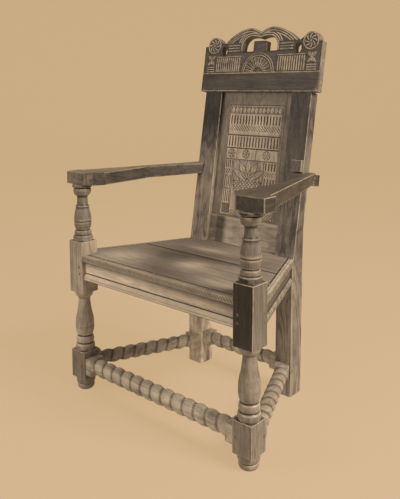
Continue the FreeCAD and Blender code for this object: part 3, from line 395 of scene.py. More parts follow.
def mark(mesh, name, plain, value_of):
    """Write a value at the points, such as the wear and painted shade: a plain one, or what a function
    gives for them.
    """
    layer = mesh.attributes.new(name, "FLOAT", "POINT")
    values = np.full(len(mesh.vertices), plain) if value_of is None else value_of(points_of(mesh))
    layer.data.foreach_set("value", values.astype(np.float32))


def smoothed(node, wear_and_shade_of):
    """A copy of a turned node, smooth, with its wear and painted shade worked out from its points."""
    piece = copied(node)
    mesh = piece.data
    mesh.shade_smooth()
    mesh.set_sharp_from_angle(angle=ROPE_CREASE_ANGLE)
    mark(mesh, "wear_and_shade", PLAIN, wear_and_shade_of)
    return piece


def carved(node, to_world, voxel, relief, wear_and_shade_of, share_kept, light_and_patina_of=None):
    """A copy of a node on an even mesh, carved by a relief that moves its points, in millimetres."""
    piece = copied(node)
    mesh = piece.data
    mesh.transform(to_world.inverted())
    mesh.transform(Matrix.Scale(1 / MM, 4))
    even = piece.modifiers.new("even", "REMESH")
    even.mode = "VOXEL"
    even.voxel_size = voxel
    applied(piece)
    mesh = piece.data
    set_points(mesh, relief(points_of(mesh)))
    fewer = piece.modifiers.new("fewer", "DECIMATE")
    fewer.decimate_type = "COLLAPSE"
    fewer.ratio = share_kept
    applied(piece)
    mesh = piece.data
    mark(mesh, "wear_and_shade", PLAIN, wear_and_shade_of)
    mark(mesh, "painted_light_and_patina", 0.0, light_and_patina_of)
    mesh.shade_smooth()
    mesh.set_sharp_from_angle(angle=CARVED_CREASE_ANGLE)
    mesh.transform(Matrix.Scale(MM, 4))
    mesh.transform(to_world)
    return piece


# Helpers of the carving, all in millimetres: points up to this far behind a face are on it
ON_FACE = 0.6


def step(value, low, high):
    """A smooth rise from 0 at the low value to 1 at the high one."""
    share = np.clip((value - low) / (high - low), 0, 1)
    return share * share * (3 - 2 * share)


def within(value, low, high, soft=1.0):
    """1 between two values and 0 outside them, with soft ends."""
    return step(value, low - soft / 2, low + soft / 2) * (1 - step(value, high - soft / 2, high + soft / 2))


def groove(distance, width, depth):
    """A round-bottomed line of a width, at a distance from it."""
    return depth * np.sqrt(np.clip(1 - (2 * distance / width) ** 2, 0, 1))


def ridge(distance, half):
    """A raised line of half a width, at a distance from it: 1 on the line and 0 off it."""
    return 1 - step(distance, half - 0.6, half + 0.6)


def nearest_of(value, start, pitch):
    """Distance from the nearest of a row of places."""
    return np.abs((value - start + pitch / 2) % pitch - pitch / 2)


def leaf(along, up, angle, length, half_width):
    """A pointed leaf from the origin: how far each point is outside it, and from its middle line."""
    lean = math.radians(angle)
    forward = along * math.sin(lean) + up * math.cos(lean)
    sideways = np.abs(along * math.cos(lean) - up * math.sin(lean))
    width = half_width * np.sin(math.pi * np.clip(forward / length, 0, 1)) ** 0.8
    return sideways - width, sideways


# Cuts of the chisel: each gives its depth
FLUTE_SHARE = 0.29
HATCH_SHARE = 0.3


def flutes(x, z, left, right, low, high, count, depth):
    """A row of upright gouges with round tops."""
    pitch = (right - left) / count
    across = (x - left) % pitch - pitch / 2
    half = pitch * FLUTE_SHARE
    over = np.maximum(z - (high - half), 0)
    reach = np.hypot(across, over) / half
    hollow = depth * np.clip(1 - reach ** 2, 0, 1)
    return hollow * (x > left) * (x < right) * within(z, low, high + 1, 1.5)


def lozenges(x, z, left, right, low, high, count, depth):
    """A row of raised lozenges with sunk middles on a sunk ground."""
    pitch = (right - left) / count
    across = np.abs((x - left) % pitch - pitch / 2) / (pitch / 2)
    up = np.abs(z - (low + high) / 2) / ((high - low) / 2)
    ground = step(across + up, 0.72, 0.98)
    dot = 1 - step(across + up, 0.2, 0.36)
    return depth * np.maximum(ground, dot * 0.8) * within(x, left, right) * within(z, low, high)


def hatch(x, z, left, right, low, high, pitch, depth, lean=1.0):
    """Slanting cuts side by side."""
    place = (x + lean * z) % pitch
    cut = depth * np.clip(1 - np.abs(place - pitch / 2) / (pitch * HATCH_SHARE), 0, 1)
    return cut * within(x, left, right) * within(z, low, high)


# Raised ornament: each gives 1 where it stands and 0 off it
def fan(along, up, radius, petals):
    """Half a rayed sun inside a double ring, laid out in shares of its radius and of half a ray."""
    reach = np.hypot(along, up)
    turn = np.arctan2(up, along) / math.pi * petals
    across = np.abs(turn % 1 - 0.5) * 2
    vein = (1 - step(across, 0.08, 0.26)) * step(reach, radius * 0.5, radius * 0.62)
    rays = (1 - step(across, 0.5, 0.78)) * within(reach, radius * 0.27, radius * 0.84, 2)
    rays *= 1 - 0.75 * vein
    inner_ring = ridge(np.abs(reach - radius * 0.93), 1.9)
    outer_ring = ridge(np.abs(reach - radius * 1.05), 1.3)
    boss = step(np.cos(along * 1.5) * np.cos(up * 1.5), -0.2, 0.4) * (reach < radius * 0.22)
    return np.maximum.reduce([rays, inner_ring, outer_ring, boss]) * (up > 0)


def petals_in_ring(along, up, radius, petals, spin):
    """A roundel of curved petals inside a ring, laid out in shares of its radius."""
    reach = np.hypot(along, up)
    angle = np.arctan2(up, along) + spin * reach / radius
    wave = 0.5 + 0.5 * np.cos(petals * angle)
    petal = step(wave, 0.35, 0.7) * within(reach, radius * 0.16, radius * 0.76, 2)
    ring = ridge(np.abs(reach - radius * 0.9), radius * 0.08)
    eye = ridge(reach, radius * 0.12)
    return np.maximum.reduce([petal, ring, eye]) * (reach < radius)


# Leaves of a sprig: angle, side of the bud, length, half width, whether it has a vein
SPRIG_LEAVES = (
    (40, 1, 23, 4.4, True), (140, -1, 23, 4.4, True), (0, 1, 15, 2.6, False), (180, -1, 15, 2.6, False))


def crossed_leaves(away, up):
    """Leaves crossed over a bud, the same on both sides of their middle line."""
    raised = ridge(np.hypot(away, up), 3.2)
    for angle, side, length, half_width, veined in SPRIG_LEAVES:
        beyond, sideways = leaf(away, up, angle, length, half_width)
        vein = 0.6 * (1 - step(sideways, 0.3, 1.1)) * veined
        raised = np.maximum(raised, (1 - step(beyond, -0.6, 0.6)) * (1 - vein) * (up * side > 0.5))
    return raised


# Wear of a carving's uncut face, and how much less it is for each millimetre of depth, which paints the
# cuts darker as shade
CARVED_WEAR = 0.84
CREST_DEPTH_SHADE, PANEL_DEPTH_SHADE, MARGIN_DEPTH_SHADE = 0.25, 0.28, 0.12

# The crest, from its middle and its lower edge
CREST_SHOULDER = 60
CREST_GROUND = 2.6
# From how far to how far behind the face the walls of the board's edges are looked for
CREST_WALL = (3, 25)
EAR_PLACE, EAR_HEIGHT, EAR_RADIUS, EAR_PETALS, EAR_SPIN = 187, 154, 28, 8, 1.1
FLUTES_START, FLUTES_END, FLUTES_FOOT, FLUTES_TOP, FLUTES_COUNT = 76, 170, 64, 111, 11
FLUTES_LINE = 114.5
BARS_START, BARS_END, BARS_FOOT, BARS_TOP, BARS_PITCH = 78, 126, 128, 156, 9
PILASTER_MIDDLE, PILASTER_HALF = 195, 16
REEDS_FOOT, REEDS_TOP, REEDS_PITCH = 62, 84, 7.2
SPRIG_HEIGHT, SPRIG_FOOT, SPRIG_TOP = 104, 85, 124
FAN_RADIUS, FAN_PETALS = 58, 11
# Lines along the arches: how far in from the edge, how far out and down they run, and from which
# height up they run near the middle
ARCH_LINES = (3.5, 10.5, 17.5)
ARCH_END, ARCH_LOWEST = 146, 118
ARCH_STEP, ARCH_INNER_FOOT, ARCH_OUTER_FOOT = 74, 130, 158
MEETING_HALF, MEETING_HEIGHT = 26, 168
# Half widths of its raised lines
FLUTE_HALF, LINE_HALF, BAR_HALF, ARCH_HALF, REED_HALF, SHOULDER_HALF = 2.7, 1.8, 2.4, 2.5, 2.3, 2.2
# The plain band under the ornament is made darker
CREST_BAND_DARKENING = -0.58
CREST_FOOT_WEAR = 0.85


class Crest:
    """The crest's relief: ornament left standing on a sunk ground above a plain band."""

    def __init__(self):
        self.walls = None

    def from_wall(self, x, z):
        """How far each point of the arches is from the nearest edge of the board."""
        found = np.full(len(x), 99.0)
        for index in np.nonzero(z > ARCH_LOWEST)[0]:
            found[index] = self.walls.find((x[index], z[index], 0))[2]
        return found

    def arches(self, side, z, distance):
        """Lines that follow the edges of the arches, down to the bars and the outer feet."""
        foot = np.where(side > ARCH_STEP, ARCH_OUTER_FOOT, ARCH_INNER_FOOT)
        zone = (z > foot) * (side < ARCH_END) * ((side > MEETING_HALF) | (z > MEETING_HEIGHT))
        return np.maximum.reduce([ridge(np.abs(distance - line), ARCH_HALF) for line in ARCH_LINES]) * zone

    def raised(self, x, z):
        """The ornament, 1 where it stands and 0 on the ground."""
        side = np.abs(x)
        away = np.abs(side - PILASTER_MIDDLE)
        on_pilaster = away < PILASTER_HALF
        pitch = (FLUTES_END - FLUTES_START) / FLUTES_COUNT
        flute_zone = within(side, FLUTES_START - 2, FLUTES_END + 2) * within(z, FLUTES_FOOT, FLUTES_TOP)
        bar_zone = within(z, BARS_FOOT, BARS_TOP) * within(side, BARS_START, BARS_END)
        return np.maximum.reduce([
            ridge(nearest_of(side, FLUTES_START, pitch), FLUTE_HALF) * flute_zone,
            ridge(np.abs(z - FLUTES_LINE), LINE_HALF) * within(side, FLUTES_START - 6, FLUTES_END + 2),
            ridge(nearest_of(z, BARS_FOOT + 5, BARS_PITCH), BAR_HALF) * bar_zone,
            self.arches(side, z, self.from_wall(x, z)),
            petals_in_ring(side - EAR_PLACE, z - EAR_HEIGHT, EAR_RADIUS, EAR_PETALS, EAR_SPIN),
            ridge(nearest_of(z, REEDS_FOOT + 4.5, REEDS_PITCH), REED_HALF)
            * within(z, REEDS_FOOT, REEDS_TOP) * on_pilaster,
            crossed_leaves(away, z - SPRIG_HEIGHT) * within(z, SPRIG_FOOT, SPRIG_TOP) * on_pilaster,
            ridge(np.abs(z - CREST_SHOULDER), SHOULDER_HALF),
            fan(x, z - CREST_SHOULDER - 2, FAN_RADIUS, FAN_PETALS),
            1 - step(z, CREST_SHOULDER - 3.5, CREST_SHOULDER - 2.5)])

    def relief(self, points):
        face = -CREST_PROUD
        front = points[:, 1] < face + ON_FACE
        wall = (points[:, 1] > face + CREST_WALL[0]) & (points[:, 1] < face + CREST_WALL[1])
        self.walls = kdtree.KDTree(int(wall.sum()))
        for index, point in enumerate(points[wall]):
            self.walls.insert((point[0], point[2] - BACK_HEIGHT, 0), index)
        self.walls.balance()
        moved = points.copy()
        depth = CREST_GROUND * (1 - self.raised(points[front, 0], points[front, 2] - BACK_HEIGHT))
        moved[front, 1] += depth
        return moved

    def wear_and_shade(self, points):
        cut = points[:, 1] + CREST_PROUD
        z = points[:, 2] - BACK_HEIGHT
        front = cut < CREST_GROUND + 1.5
        values = np.full(len(points), PLAIN)
        ornament = front & (z > CREST_SHOULDER - 3)
        values[ornament] = CARVED_WEAR - cut[ornament] * CREST_DEPTH_SHADE
        values[(cut < 1.5) & (z < 3.5)] = CREST_FOOT_WEAR
        return values

    def painted_light_and_patina(self, points):
        plain = (points[:, 1] < CREST_GROUND) & (points[:, 2] - BACK_HEIGHT < CREST_SHOULDER - 3)
        return np.where(plain, CREST_BAND_DARKENING, 0.0)


# The back panel, from its middle and from the knee of the stiles
PANEL_HALF = 100
FIELD_FOOT, FIELD_TOP = 84, 443
COLUMN_LEFT, COLUMN_RIGHT, COLUMN_FOOT, COLUMN_TOP = -68, 52, 88, 266
BOXES_FOOT, BOXES_TOP = 267, 304
# Bands of small shapes: the shape, its foot and top, their count or pitch, and their depth
FIELD_BANDS = (
    (lozenges, 416, 440, 13, 2.3), (flutes, 382, 412, 17, 3.2), (hatch, 360, 379, 10, 2.8),
    (flutes, 309, 343, 17, 3.0))
COLUMN_BANDS = (
    (flutes, 238, 264, 4, 3.0), (hatch, 219, 234, 9, 3.0), (flutes, 173, 215, 4, 3.0),
    (flutes, 126, 166, 4, 3.0))
# Level lines: height, width and depth
LEVEL_LINES = ((346, 4.5, 3.0), (BOXES_TOP, 4.5, 3.0), (BOXES_FOOT, 3.5, 2.6))
COLUMN_LINE = (169.5, 3.5, 2.8)
# Upright lines: place, width, depth, foot and top
UPRIGHT_LINES = (
    (-59, 3, 2.4, BOXES_FOOT, BOXES_TOP), (17, 3, 2.4, BOXES_FOOT, BOXES_TOP),
    (COLUMN_RIGHT, 3.5, 2.8, COLUMN_FOOT, COLUMN_TOP), (COLUMN_LEFT, 3.5, 2.8, COLUMN_FOOT, COLUMN_TOP))
ROSETTE_PLACES = (-80, -22, 58)
ROSETTE_HEIGHT, ROSETTE_RADIUS, ROSETTE_PETALS, ROSETTE_SPIN = 286, 15, 6, 0.0
SUNK_DEPTH = 2.4
# The foot: a sunk square, then a hatched band with its foot, top, pitch and depth
SQUARE_SIDE, SQUARE_TOP = 32, 121
FOOT_BAND = (86, 104, 11, 2.8)
# The line round the field and an upright line in the right margin, each with its width and depth
FRAME_MIDDLE, FRAME_HALF, FRAME_LINE = 264, 180, (3.5, 2.4)
MARGIN_PLACE, MARGIN_FOOT, MARGIN_LINE = 14, 60, (3, 1.6)
VASE_MIDDLE, VASE_MOUTH, VASE_FOOT = -8, 203, 106
BOWL_HALF, BOWL_HEIGHT, BOWL_FOOT = 56, 64, 139
STEM_HALF, STEM_SPREAD, SPREAD_HEIGHT = 14, 9, 22
LEAF_ANGLES = (-62, -32, 0, 32, 62)
LEAF_LENGTH, LEAF_HALF = 66, 11
# Lines of the vase and its leaves: width and depth
VASE_OUTLINE, RIM_LINE, LEAF_OUTLINE, LEAF_VEIN = (3.4, 3.0), (2.6, 2.0), (2.8, 2.8), (2.6, 1.8)
# Hatching of the vase, its leaves and its ground: foot, top, pitch and depth
VASE_NET, LEAF_HATCH, GROUND_HATCH = (100, 210, 13, 3.0), (200, 270, 6.5, 1.8), (100, 270, 7, 1.0)
GROUND_DEPTH = 1.3
# The carved field is made lighter, and the margins get a painted shadow
PANEL_FIELD_LIFT, MARGIN_PAINTED_SHADOW = 0.8, -0.12
PANEL_EDGE_WEAR = 0.4


def banded(x, z, left, right, bands):
    """The depths of bands of small shapes between a left and a right end."""
    return [shape(x, z, left, right, low, high, count, depth) for shape, low, high, count, depth in bands]


def panel_depth(x, z):
    """How deep the panel's face is cut."""
    half = PANEL_HALF
    cuts = banded(x, z, -half, half, FIELD_BANDS)
    for height, width, depth in LEVEL_LINES:
        cuts.append(groove(np.abs(z - height), width, depth) * within(x, -half - 4, half + 4))
    for place, width, depth, low, high in UPRIGHT_LINES:
        cuts.append(groove(np.abs(x - place), width, depth) * within(z, low, high))
    for place in ROSETTE_PLACES:
        along, up = x - place, z - ROSETTE_HEIGHT
        cuts.append(SUNK_DEPTH * petals_in_ring(along, up, ROSETTE_RADIUS, ROSETTE_PETALS, ROSETTE_SPIN))
    height, width, depth = COLUMN_LINE
    for left, right in ((-half, COLUMN_LEFT - 2), (COLUMN_RIGHT + 2, half)):
        cuts += banded(x, z, left, right, COLUMN_BANDS)
        cuts.append(groove(np.abs(z - height), width, depth) * within(x, left, right))
    cuts.append(vase_depth(x, z))
    square = within(x, -half, -half + SQUARE_SIDE, 2) * within(z, COLUMN_FOOT, SQUARE_TOP, 2)
    cuts.append(SUNK_DEPTH * square)
    cuts.append(hatch(x, z, -half + SQUARE_SIDE + 2, half, *FOOT_BAND, lean=-1))
    edge = np.maximum(np.abs(x) - half - 3, np.abs(z - FRAME_MIDDLE) - FRAME_HALF)
    cuts.append(groove(np.abs(edge), *FRAME_LINE) * (edge < 4))
    cuts.append(groove(np.abs(x - half - MARGIN_PLACE), *MARGIN_LINE) * (z > MARGIN_FOOT))
    return np.maximum.reduce(cuts)


def vase_half_width(z):
    """The vase's outline: a wide bowl on a stem that spreads at the foot."""
    bowl = BOWL_HALF * np.sqrt(np.clip(1 - ((z - VASE_MOUTH) / BOWL_HEIGHT) ** 2, 0, 1))
    stem = STEM_HALF + STEM_SPREAD * np.clip((BOWL_FOOT - 1 - z) / SPREAD_HEIGHT, 0, 1)
    return np.where(z > VASE_MOUTH, 0, np.maximum(bowl * (z > BOWL_FOOT), stem * (z > VASE_FOOT)))


def vase_depth(x, z):
    """The vase, cross-hatched, with pointed leaves that fan out over it, on a hatched ground."""
    def hatched(low, high, pitch, depth, lean=1):
        return hatch(x, z, -PANEL_HALF + 1, PANEL_HALF - 1, low, high, pitch, depth, lean)

    area = within(x, COLUMN_LEFT + 3, COLUMN_RIGHT - 3) * within(z, VASE_FOOT, COLUMN_TOP - 2)
    along, up = x - VASE_MIDDLE, z - VASE_MOUTH
    outside = np.abs(along) - vase_half_width(z)
    vase = (1 - step(outside, -1, 1)) * within(z, VASE_FOOT, VASE_MOUTH + 1)
    net = np.maximum(hatched(*VASE_NET), hatched(*VASE_NET, lean=-1))
    rim = groove(np.abs(outside + 5), *RIM_LINE) + groove(np.abs(up + 6), *RIM_LINE)
    raised, veins = vase, np.zeros(len(x))
    outlines = groove(np.abs(outside), *VASE_OUTLINE) * (z < VASE_MOUTH + 1)
    for number, angle in enumerate(LEAF_ANGLES):
        beyond, sideways = leaf(along, up, angle, LEAF_LENGTH, LEAF_HALF)
        inside = (1 - step(beyond, -0.8, 0.8)) * (up > 2)
        raised = np.maximum(raised, inside)
        outlines = np.maximum(outlines, groove(np.abs(beyond), *LEAF_OUTLINE) * (up > 2))
        cut = hatched(*LEAF_HATCH) if number % 2 == 0 else groove(sideways, *LEAF_VEIN)
        veins = np.maximum(veins, cut * inside)
    ground = (GROUND_DEPTH + hatched(*GROUND_HATCH)) * (1 - raised)
    return np.maximum.reduce([ground, np.maximum(net, rim) * vase, veins, outlines]) * area


def panel_relief(points):
    moved = points.copy()
    front = points[:, 1] < PANEL_FACE + ON_FACE
    moved[front, 1] += panel_depth(points[front, 0], points[front, 2])
    return moved


def in_field(points):
    inside = np.abs(points[:, 0]) < PANEL_HALF + 4
    return inside & (points[:, 2] > FIELD_FOOT) & (points[:, 2] < FIELD_TOP)


# The carving's wear falls with depth, which paints the cuts darker as shade
def panel_wear_and_shade(points):
    cut = points[:, 1] - PANEL_FACE
    carving, margin = CARVED_WEAR - cut * PANEL_DEPTH_SHADE, PLAIN - cut * MARGIN_DEPTH_SHADE
    values = np.where(in_field(points), carving, margin)
    values[cut > 6] = PANEL_EDGE_WEAR
    return values


def panel_lift_and_margin_shadow(points):
    return np.where(in_field(points), PANEL_FIELD_LIFT, MARGIN_PAINTED_SHADOW)


# The seat boards
SEAT_BORDER, BORDER_LINE = 18, 9
BORDER_DEPTH, BORDER_LINE_DEPTH = 2.2, 1.0
EDGE_FALL, EDGE_ROUND = 3.0, 7
JOINT_DEPTH, JOINT_HALF = 3.0, 3.2
NICK_PITCH, NICK_DEPTH = 10, 2.2
# How far under the seat's top its nicked edges begin
EDGE_START = 4.5
# The border is lighter, the right edge that the key lamp lights is painted darker as shade, and the patches
# go no darker than the darkest
BORDER_PATINA, LIT_EDGE_PAINTED_SHADE, DARKEST_PATCH = 0.25, -0.4, -0.6
# Wear of the border, its line painted dark as shade, and how much darker the nicks are painted for each
# millimetre of depth
BORDER_WEAR, BORDER_LINE_SHADE, NICK_DEPTH_SHADE = 0.8, 0.3, 0.3
# Patches painted as highlights that also stand for rubbed wear, and darker patches: middle, half width,
# half depth, how much lighter
SEAT_HIGHLIGHTS_AND_PATCHES = (
    ((22, -124), 46, 42, 1.5), ((-52, 42), 62, 26, 1.2), ((-110, -80), 90, 60, -0.55),
    ((60, 0), 150, 26, -0.3), ((40, -60), 90, 26, -0.3), ((190, -215), 60, 40, 0.5),
    ((-200, -180), 100, 70, 0.95), ((190, 20), 50, 60, -0.1), ((60, -42), 120, 9, -0.5))


class SeatBoards:
    """The seat's moulded border on its front and side edges, the nicks under it and the joint."""

    def __init__(self):
        front_low, front_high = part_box("seat_board_front")
        rear_low, rear_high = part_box("seat_board_rear")
        self.front = front_low.y / MM
        self.joint = rear_low.y / MM
        self.bottom = front_low.z / MM
        first = Vector((front_high.x / MM, front_y / MM + POST_SIDE))
        second = Vector((rear_high.x / MM, rear_low.y / MM))
        self.along = (second - first).normalized()
        self.out = Vector((self.along.y, -self.along.x))
        self.reach = self.out.dot(first)

    def from_front(self, points):
        return points[:, 1] - self.front

    def from_side(self, points):
        return self.reach - (np.abs(points[:, 0]) * self.out.x + points[:, 1] * self.out.y)

    def inset(self, points):
        """Distance in from the nearest finished edge."""
        return np.minimum(self.from_front(points), self.from_side(points))

    def along_edge(self, points):
        """The place along the nearest finished edge."""
        on_front = self.from_front(points) < self.from_side(points)
        along_side = np.abs(points[:, 0]) * self.along.x + points[:, 1] * self.along.y
        return np.where(on_front, points[:, 0], along_side)

    def from_joint(self, points):
        return np.abs(points[:, 1] - self.joint)

    def relief(self, points):
        moved = points.copy()
        distance, height = self.inset(points), points[:, 2]
        top = height > SEAT_TOP - 0.8
        fall = EDGE_FALL * (1 - step(distance, 0, EDGE_ROUND))
        fall += groove(np.abs(distance - SEAT_BORDER), 4.2, BORDER_DEPTH)
        fall += groove(np.abs(distance - BORDER_LINE), 2.6, BORDER_LINE_DEPTH)
        fall = np.maximum(fall, JOINT_DEPTH * (1 - step(self.from_joint(points), 0.8, JOINT_HALF)))
        moved[top, 2] -= fall[top]
        wall = (distance < 0.8) & ~top & (height > self.bottom + 0.8)
        slant = self.along_edge(points) + height
        nick = NICK_DEPTH * step(np.cos(2 * math.pi * slant / NICK_PITCH), 0.0, 0.7)
        nick *= within(height, self.bottom + 3, SEAT_TOP - EDGE_START, 1.5)
        inward = np.where(wall, nick, 0)
        on_front = self.from_front(points) < 1.5
        moved[:, 1] += np.where(on_front, inward, -inward * self.out.y)
        moved[:, 0] -= np.where(on_front, 0, inward * self.out.x * np.sign(points[:, 0]))
        return moved

    def wear_and_shade(self, points):
        distance = self.inset(points)
        high = points[:, 2] > SEAT_TOP - EDGE_START
        values = np.full(len(points), PLAIN)
        values[(distance < SEAT_BORDER) & high] = BORDER_WEAR
        values[(np.abs(distance - SEAT_BORDER) < 2.6) & high] = SUNK_SHADE
        values[(np.abs(distance - BORDER_LINE) < 1.2) & high] = BORDER_LINE_SHADE
        values[(self.from_joint(points) < JOINT_HALF) & high & (distance > SEAT_BORDER)] = SUNK_SHADE
        side = (distance < 3) & ~high
        values[side] = BORDER_WEAR - np.clip(distance[side], 0, NICK_DEPTH) * NICK_DEPTH_SHADE
        return values

    def painted_light_and_patina(self, points):
        distance = self.inset(points)
        x, y = points[:, 0], points[:, 1]
        values = np.zeros(len(points))
        for (middle_x, middle_y), half_x, half_y, lighter in SEAT_HIGHLIGHTS_AND_PATCHES:
            away = ((x - middle_x) / half_x) ** 2 + ((y - middle_y) / half_y) ** 2
            values += lighter * np.exp(-away)
        values = np.where(distance < SEAT_BORDER, BORDER_PATINA, np.maximum(values, DARKEST_PATCH))
        # The right edge, lit by the key lamp, is painted darker as shade
        lit_edge_painted_shade = (distance < 3) & (x > 0) & (y > self.front + POST_SIDE)
        return np.where(lit_edge_painted_shade, LIT_EDGE_PAINTED_SHADE, values)


# The seat rails: a field over a moulding, in a frame whose x runs along the outer face
RAIL_FOOT = 352
MOULDING_LINE, MOULDING_LINE_WIDTH, MOULDING_LINE_DEPTH = 361, 3.2, 1.8
FIELD_START, FIELD_LINE_WIDTH, FIELD_LINE_DEPTH = 375, 3.0, 1.4
OUTER_DEPTH = 12
# The rails are painted dark along the foot, as shade under the moulding, and along the top as the seat's
# painted shadow
RAIL_FOOT_SHADE, RAIL_TOP_SHADOW, SEAT_SHADOW = 0.05, 0.1, 21.5


def outer_face(node, way):
    """A frame on the widest upright face that looks a given way: x along it, y into the wood."""
    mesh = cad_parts[node].data
    faces = [face for face in mesh.polygons if face.normal.dot(Vector(way)) > 0.85]
    face = max(faces, key=lambda each: each.area)
    inward = -face.normal
    along = inward.cross(Vector((0, 0, 1)))
    turn = Matrix((along, inward, (0, 0, 1))).transposed().to_4x4()
    place = Vector((face.center.x, face.center.y, 0))
    return Matrix.Translation(place) @ turn


def rail_relief(points):
    moved = points.copy()
    outer = points[:, 1] < OUTER_DEPTH
    height = points[:, 2]
    depth = groove(np.abs(height - MOULDING_LINE), MOULDING_LINE_WIDTH, MOULDING_LINE_DEPTH)
    depth += groove(np.abs(height - FIELD_START), FIELD_LINE_WIDTH, FIELD_LINE_DEPTH)
    moved[outer, 1] += depth[outer]
    return moved


# The raised moulding is worn lighter; its grooves, the foot and the top are painted dark as shade
def rail_wear_and_shade(points):
    height = points[:, 2]
    values = np.full(len(points), PLAIN)
    values[(height > RAIL_FOOT + 3) & (height < FIELD_START - 2)] = RUBBED
    values[np.abs(height - MOULDING_LINE) < MOULDING_LINE_WIDTH / 2] = SUNK_SHADE
    values[np.abs(height - FIELD_START) < 2.0] = SUNK_SHADE
    values[height < RAIL_FOOT + 2.8] = RAIL_FOOT_SHADE
    values[height > SEAT_TOP - SEAT_SHADOW] = RAIL_TOP_SHADOW
    return values


# Rope-turned stretchers
# The crests are worn lighter and the grooves painted dark as shade
ROPE_HOLLOW_SHADE, ROPE_CREST_WEAR = 0.2, 0.79


def rope_wear_and_shade(start, end, radius):
    """Light worn crests and narrow grooves painted dark as shade, by the distance from the stretcher's
    axis.
    """
    start, end = Vector(start), Vector(end)
    along = np.array((end - start).normalized())
    origin = np.array(start)

    def wear_and_shade(points):
        offset = points - origin
        offset -= np.outer(offset @ along, along)
        reach = np.linalg.norm(offset, axis=1)
        share = (reach - (radius - ROPE_GROOVE)) / ROPE_GROOVE
        return ROPE_HOLLOW_SHADE + (ROPE_CREST_WEAR - ROPE_HOLLOW_SHADE) * step(share, 0.0, 0.6)
    return wear_and_shade


# Materials of the pieces
left_post_finish = oak(
    "left_post_oak", "z", 1.9, roughness=0.36, streaky=0.6,
    fades=[
        (UPWARD, 0.465, 0.485, 1.0, 0.43), (UPWARD, 0.12, 0.14, 0.76, 1.0),
        (UPWARD, 0.3, 0.32, 1.2, 1.0)])
right_post_finish = oak(
    "right_post_oak", "z", 1.15, roughness=0.36, streaky=0.6,
    fades=[(UPWARD, 0.13, 0.3, 1.12, 0.94), (UPWARD, 0.465, 0.485, 1.0, 0.68)])
# The stiles' fades paint shade: lighter low down and darker towards the top
left_stile_oak_and_painted_shade = oak(
    "left_stile_oak", "z", 1.0, RAKE, rings=0.8,
    fades=[(UPWARD, 0.58, 0.85, 1.7, 0.15), (UPWARD, 0.3, 0.45, 2.4, 1.0)])
right_stile_oak_and_painted_shade = oak(
    "right_stile_oak", "z", 0.62, RAKE, rings=0.8,
    fades=[(UPWARD, 0.55, 0.8, 1.38, 0.45), (UPWARD, 0.25, 0.46, 1.72, 1.0)])
# The front rail is painted far lighter, in place of the light that its front face doesn't get, and darker
# towards its right end
front_rail_oak_and_painted_light = oak(
    "front_rail_oak", "x", 4.2, worn=0.75, rings=0.15, streaky=0.4, fades=[(ACROSS, -0.3, 0.3, 1.15, 0.76)])
# The side rails are painted darker, as shade against the key lamp that lights the right one
side_rail_oak_and_painted_shade = oak("side_rail_oak", "y", 0.5, worn=0.3, rings=0.15, streaky=0.4)
hidden_rail_finish = oak("rear_rail_oak", "x", 1.0)
# The lower back rail's fades paint a shadow: a dark upright band near its left end, with the wood left of
# it somewhat darker and the right end darker
lower_back_oak_and_painted_shadow = oak(
    "lower_back_oak", "x", 2.4, rings=0.5,
    fades=[
        (ACROSS, -0.115, -0.1, 2.2, 1.0), (ACROSS, -0.085, -0.06, 0.24, 1.0),
        (ACROSS, 0.0, 0.1, 1.0, 0.78)])
batten_finish = oak("batten_oak", "x", 0.5)
cleat_finish = oak("cleat_oak", "z", 0.6, RAKE)
stretcher_across = oak("stretcher_oak_across", "x", 2.3, worn=0.5, rings=0.15)
stretcher_left = oak("stretcher_oak_left", "y", 2.2, worn=0.5, rings=0.15)
# The right side stretcher is painted darker, as shade against the key lamp
stretcher_right = oak("stretcher_oak_right", "y", 1.0, worn=0.4, rings=0.15)
seat_finish = oak("seat_oak_plank", "x", 1.3, worn=0.55, roughness=0.75, rings=0.12, streaky=0.35)
arm_finish = oak("arm_oak_rubbed", "y", 0.72, worn=0.24, roughness=0.4)
crest_finish = oak("carved_oak_crest", "x", 0.88, RAKE, 0.75, streaky=0.6)
panel_finish = oak("carved_oak_panel", "z", 1.35, RAKE, 0.5, streaky=0.6)
peg_finish = oak("peg_oak_end", "y", 0.75)
panel_peg_finish = oak("peg_oak_panel", "y", 1.15)
dark_peg_finish = oak("peg_oak_dark", "y", 0.36)

# Light and shade painted on the faces by the way they look, and the heights in metres where the lower part
# of a post and a stile ends
LOW_BLOCK, SEAT_LINE = 0.2, 0.46
left_post_painted_light = facing(front=0.15, right=0.1, top=0.2, limit=LOW_BLOCK, low_front=-0.3, low_right=-0.2)
right_post_painted_light = facing(front=-0.78, right=-0.3, limit=LOW_BLOCK, low_front=0.15, low_right=-0.05)
left_stile_painted_light = facing(right=-0.1, limit=SEAT_LINE, low_right=0.1)
right_stile_painted_light = facing(right=0.6, limit=SEAT_LINE, low_front=0.2, low_right=-0.2)
batten_painted_shade = facing(right=-0.6, top=-0.4)
left_arm_painted_light = facing(front=0.2, right=-0.48, top=0.1)
right_arm_painted_shade = facing(front=-0.53, right=-0.69, top=-0.45)

post_y = front_y + POST_SIDE / 2 * MM
post_back = front_y + POST_SIDE * MM
leg_front = front_y + LEG_SETBACK
left_post_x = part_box("front_post_left")[0].x + POST_SIDE / 2 * MM
right_post_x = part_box("front_post_right")[0].x + POST_SIDE / 2 * MM
left_axis, right_axis = (left_post_x, post_y), (right_post_x, post_y)
rear_y = middle("rear_stretcher").y

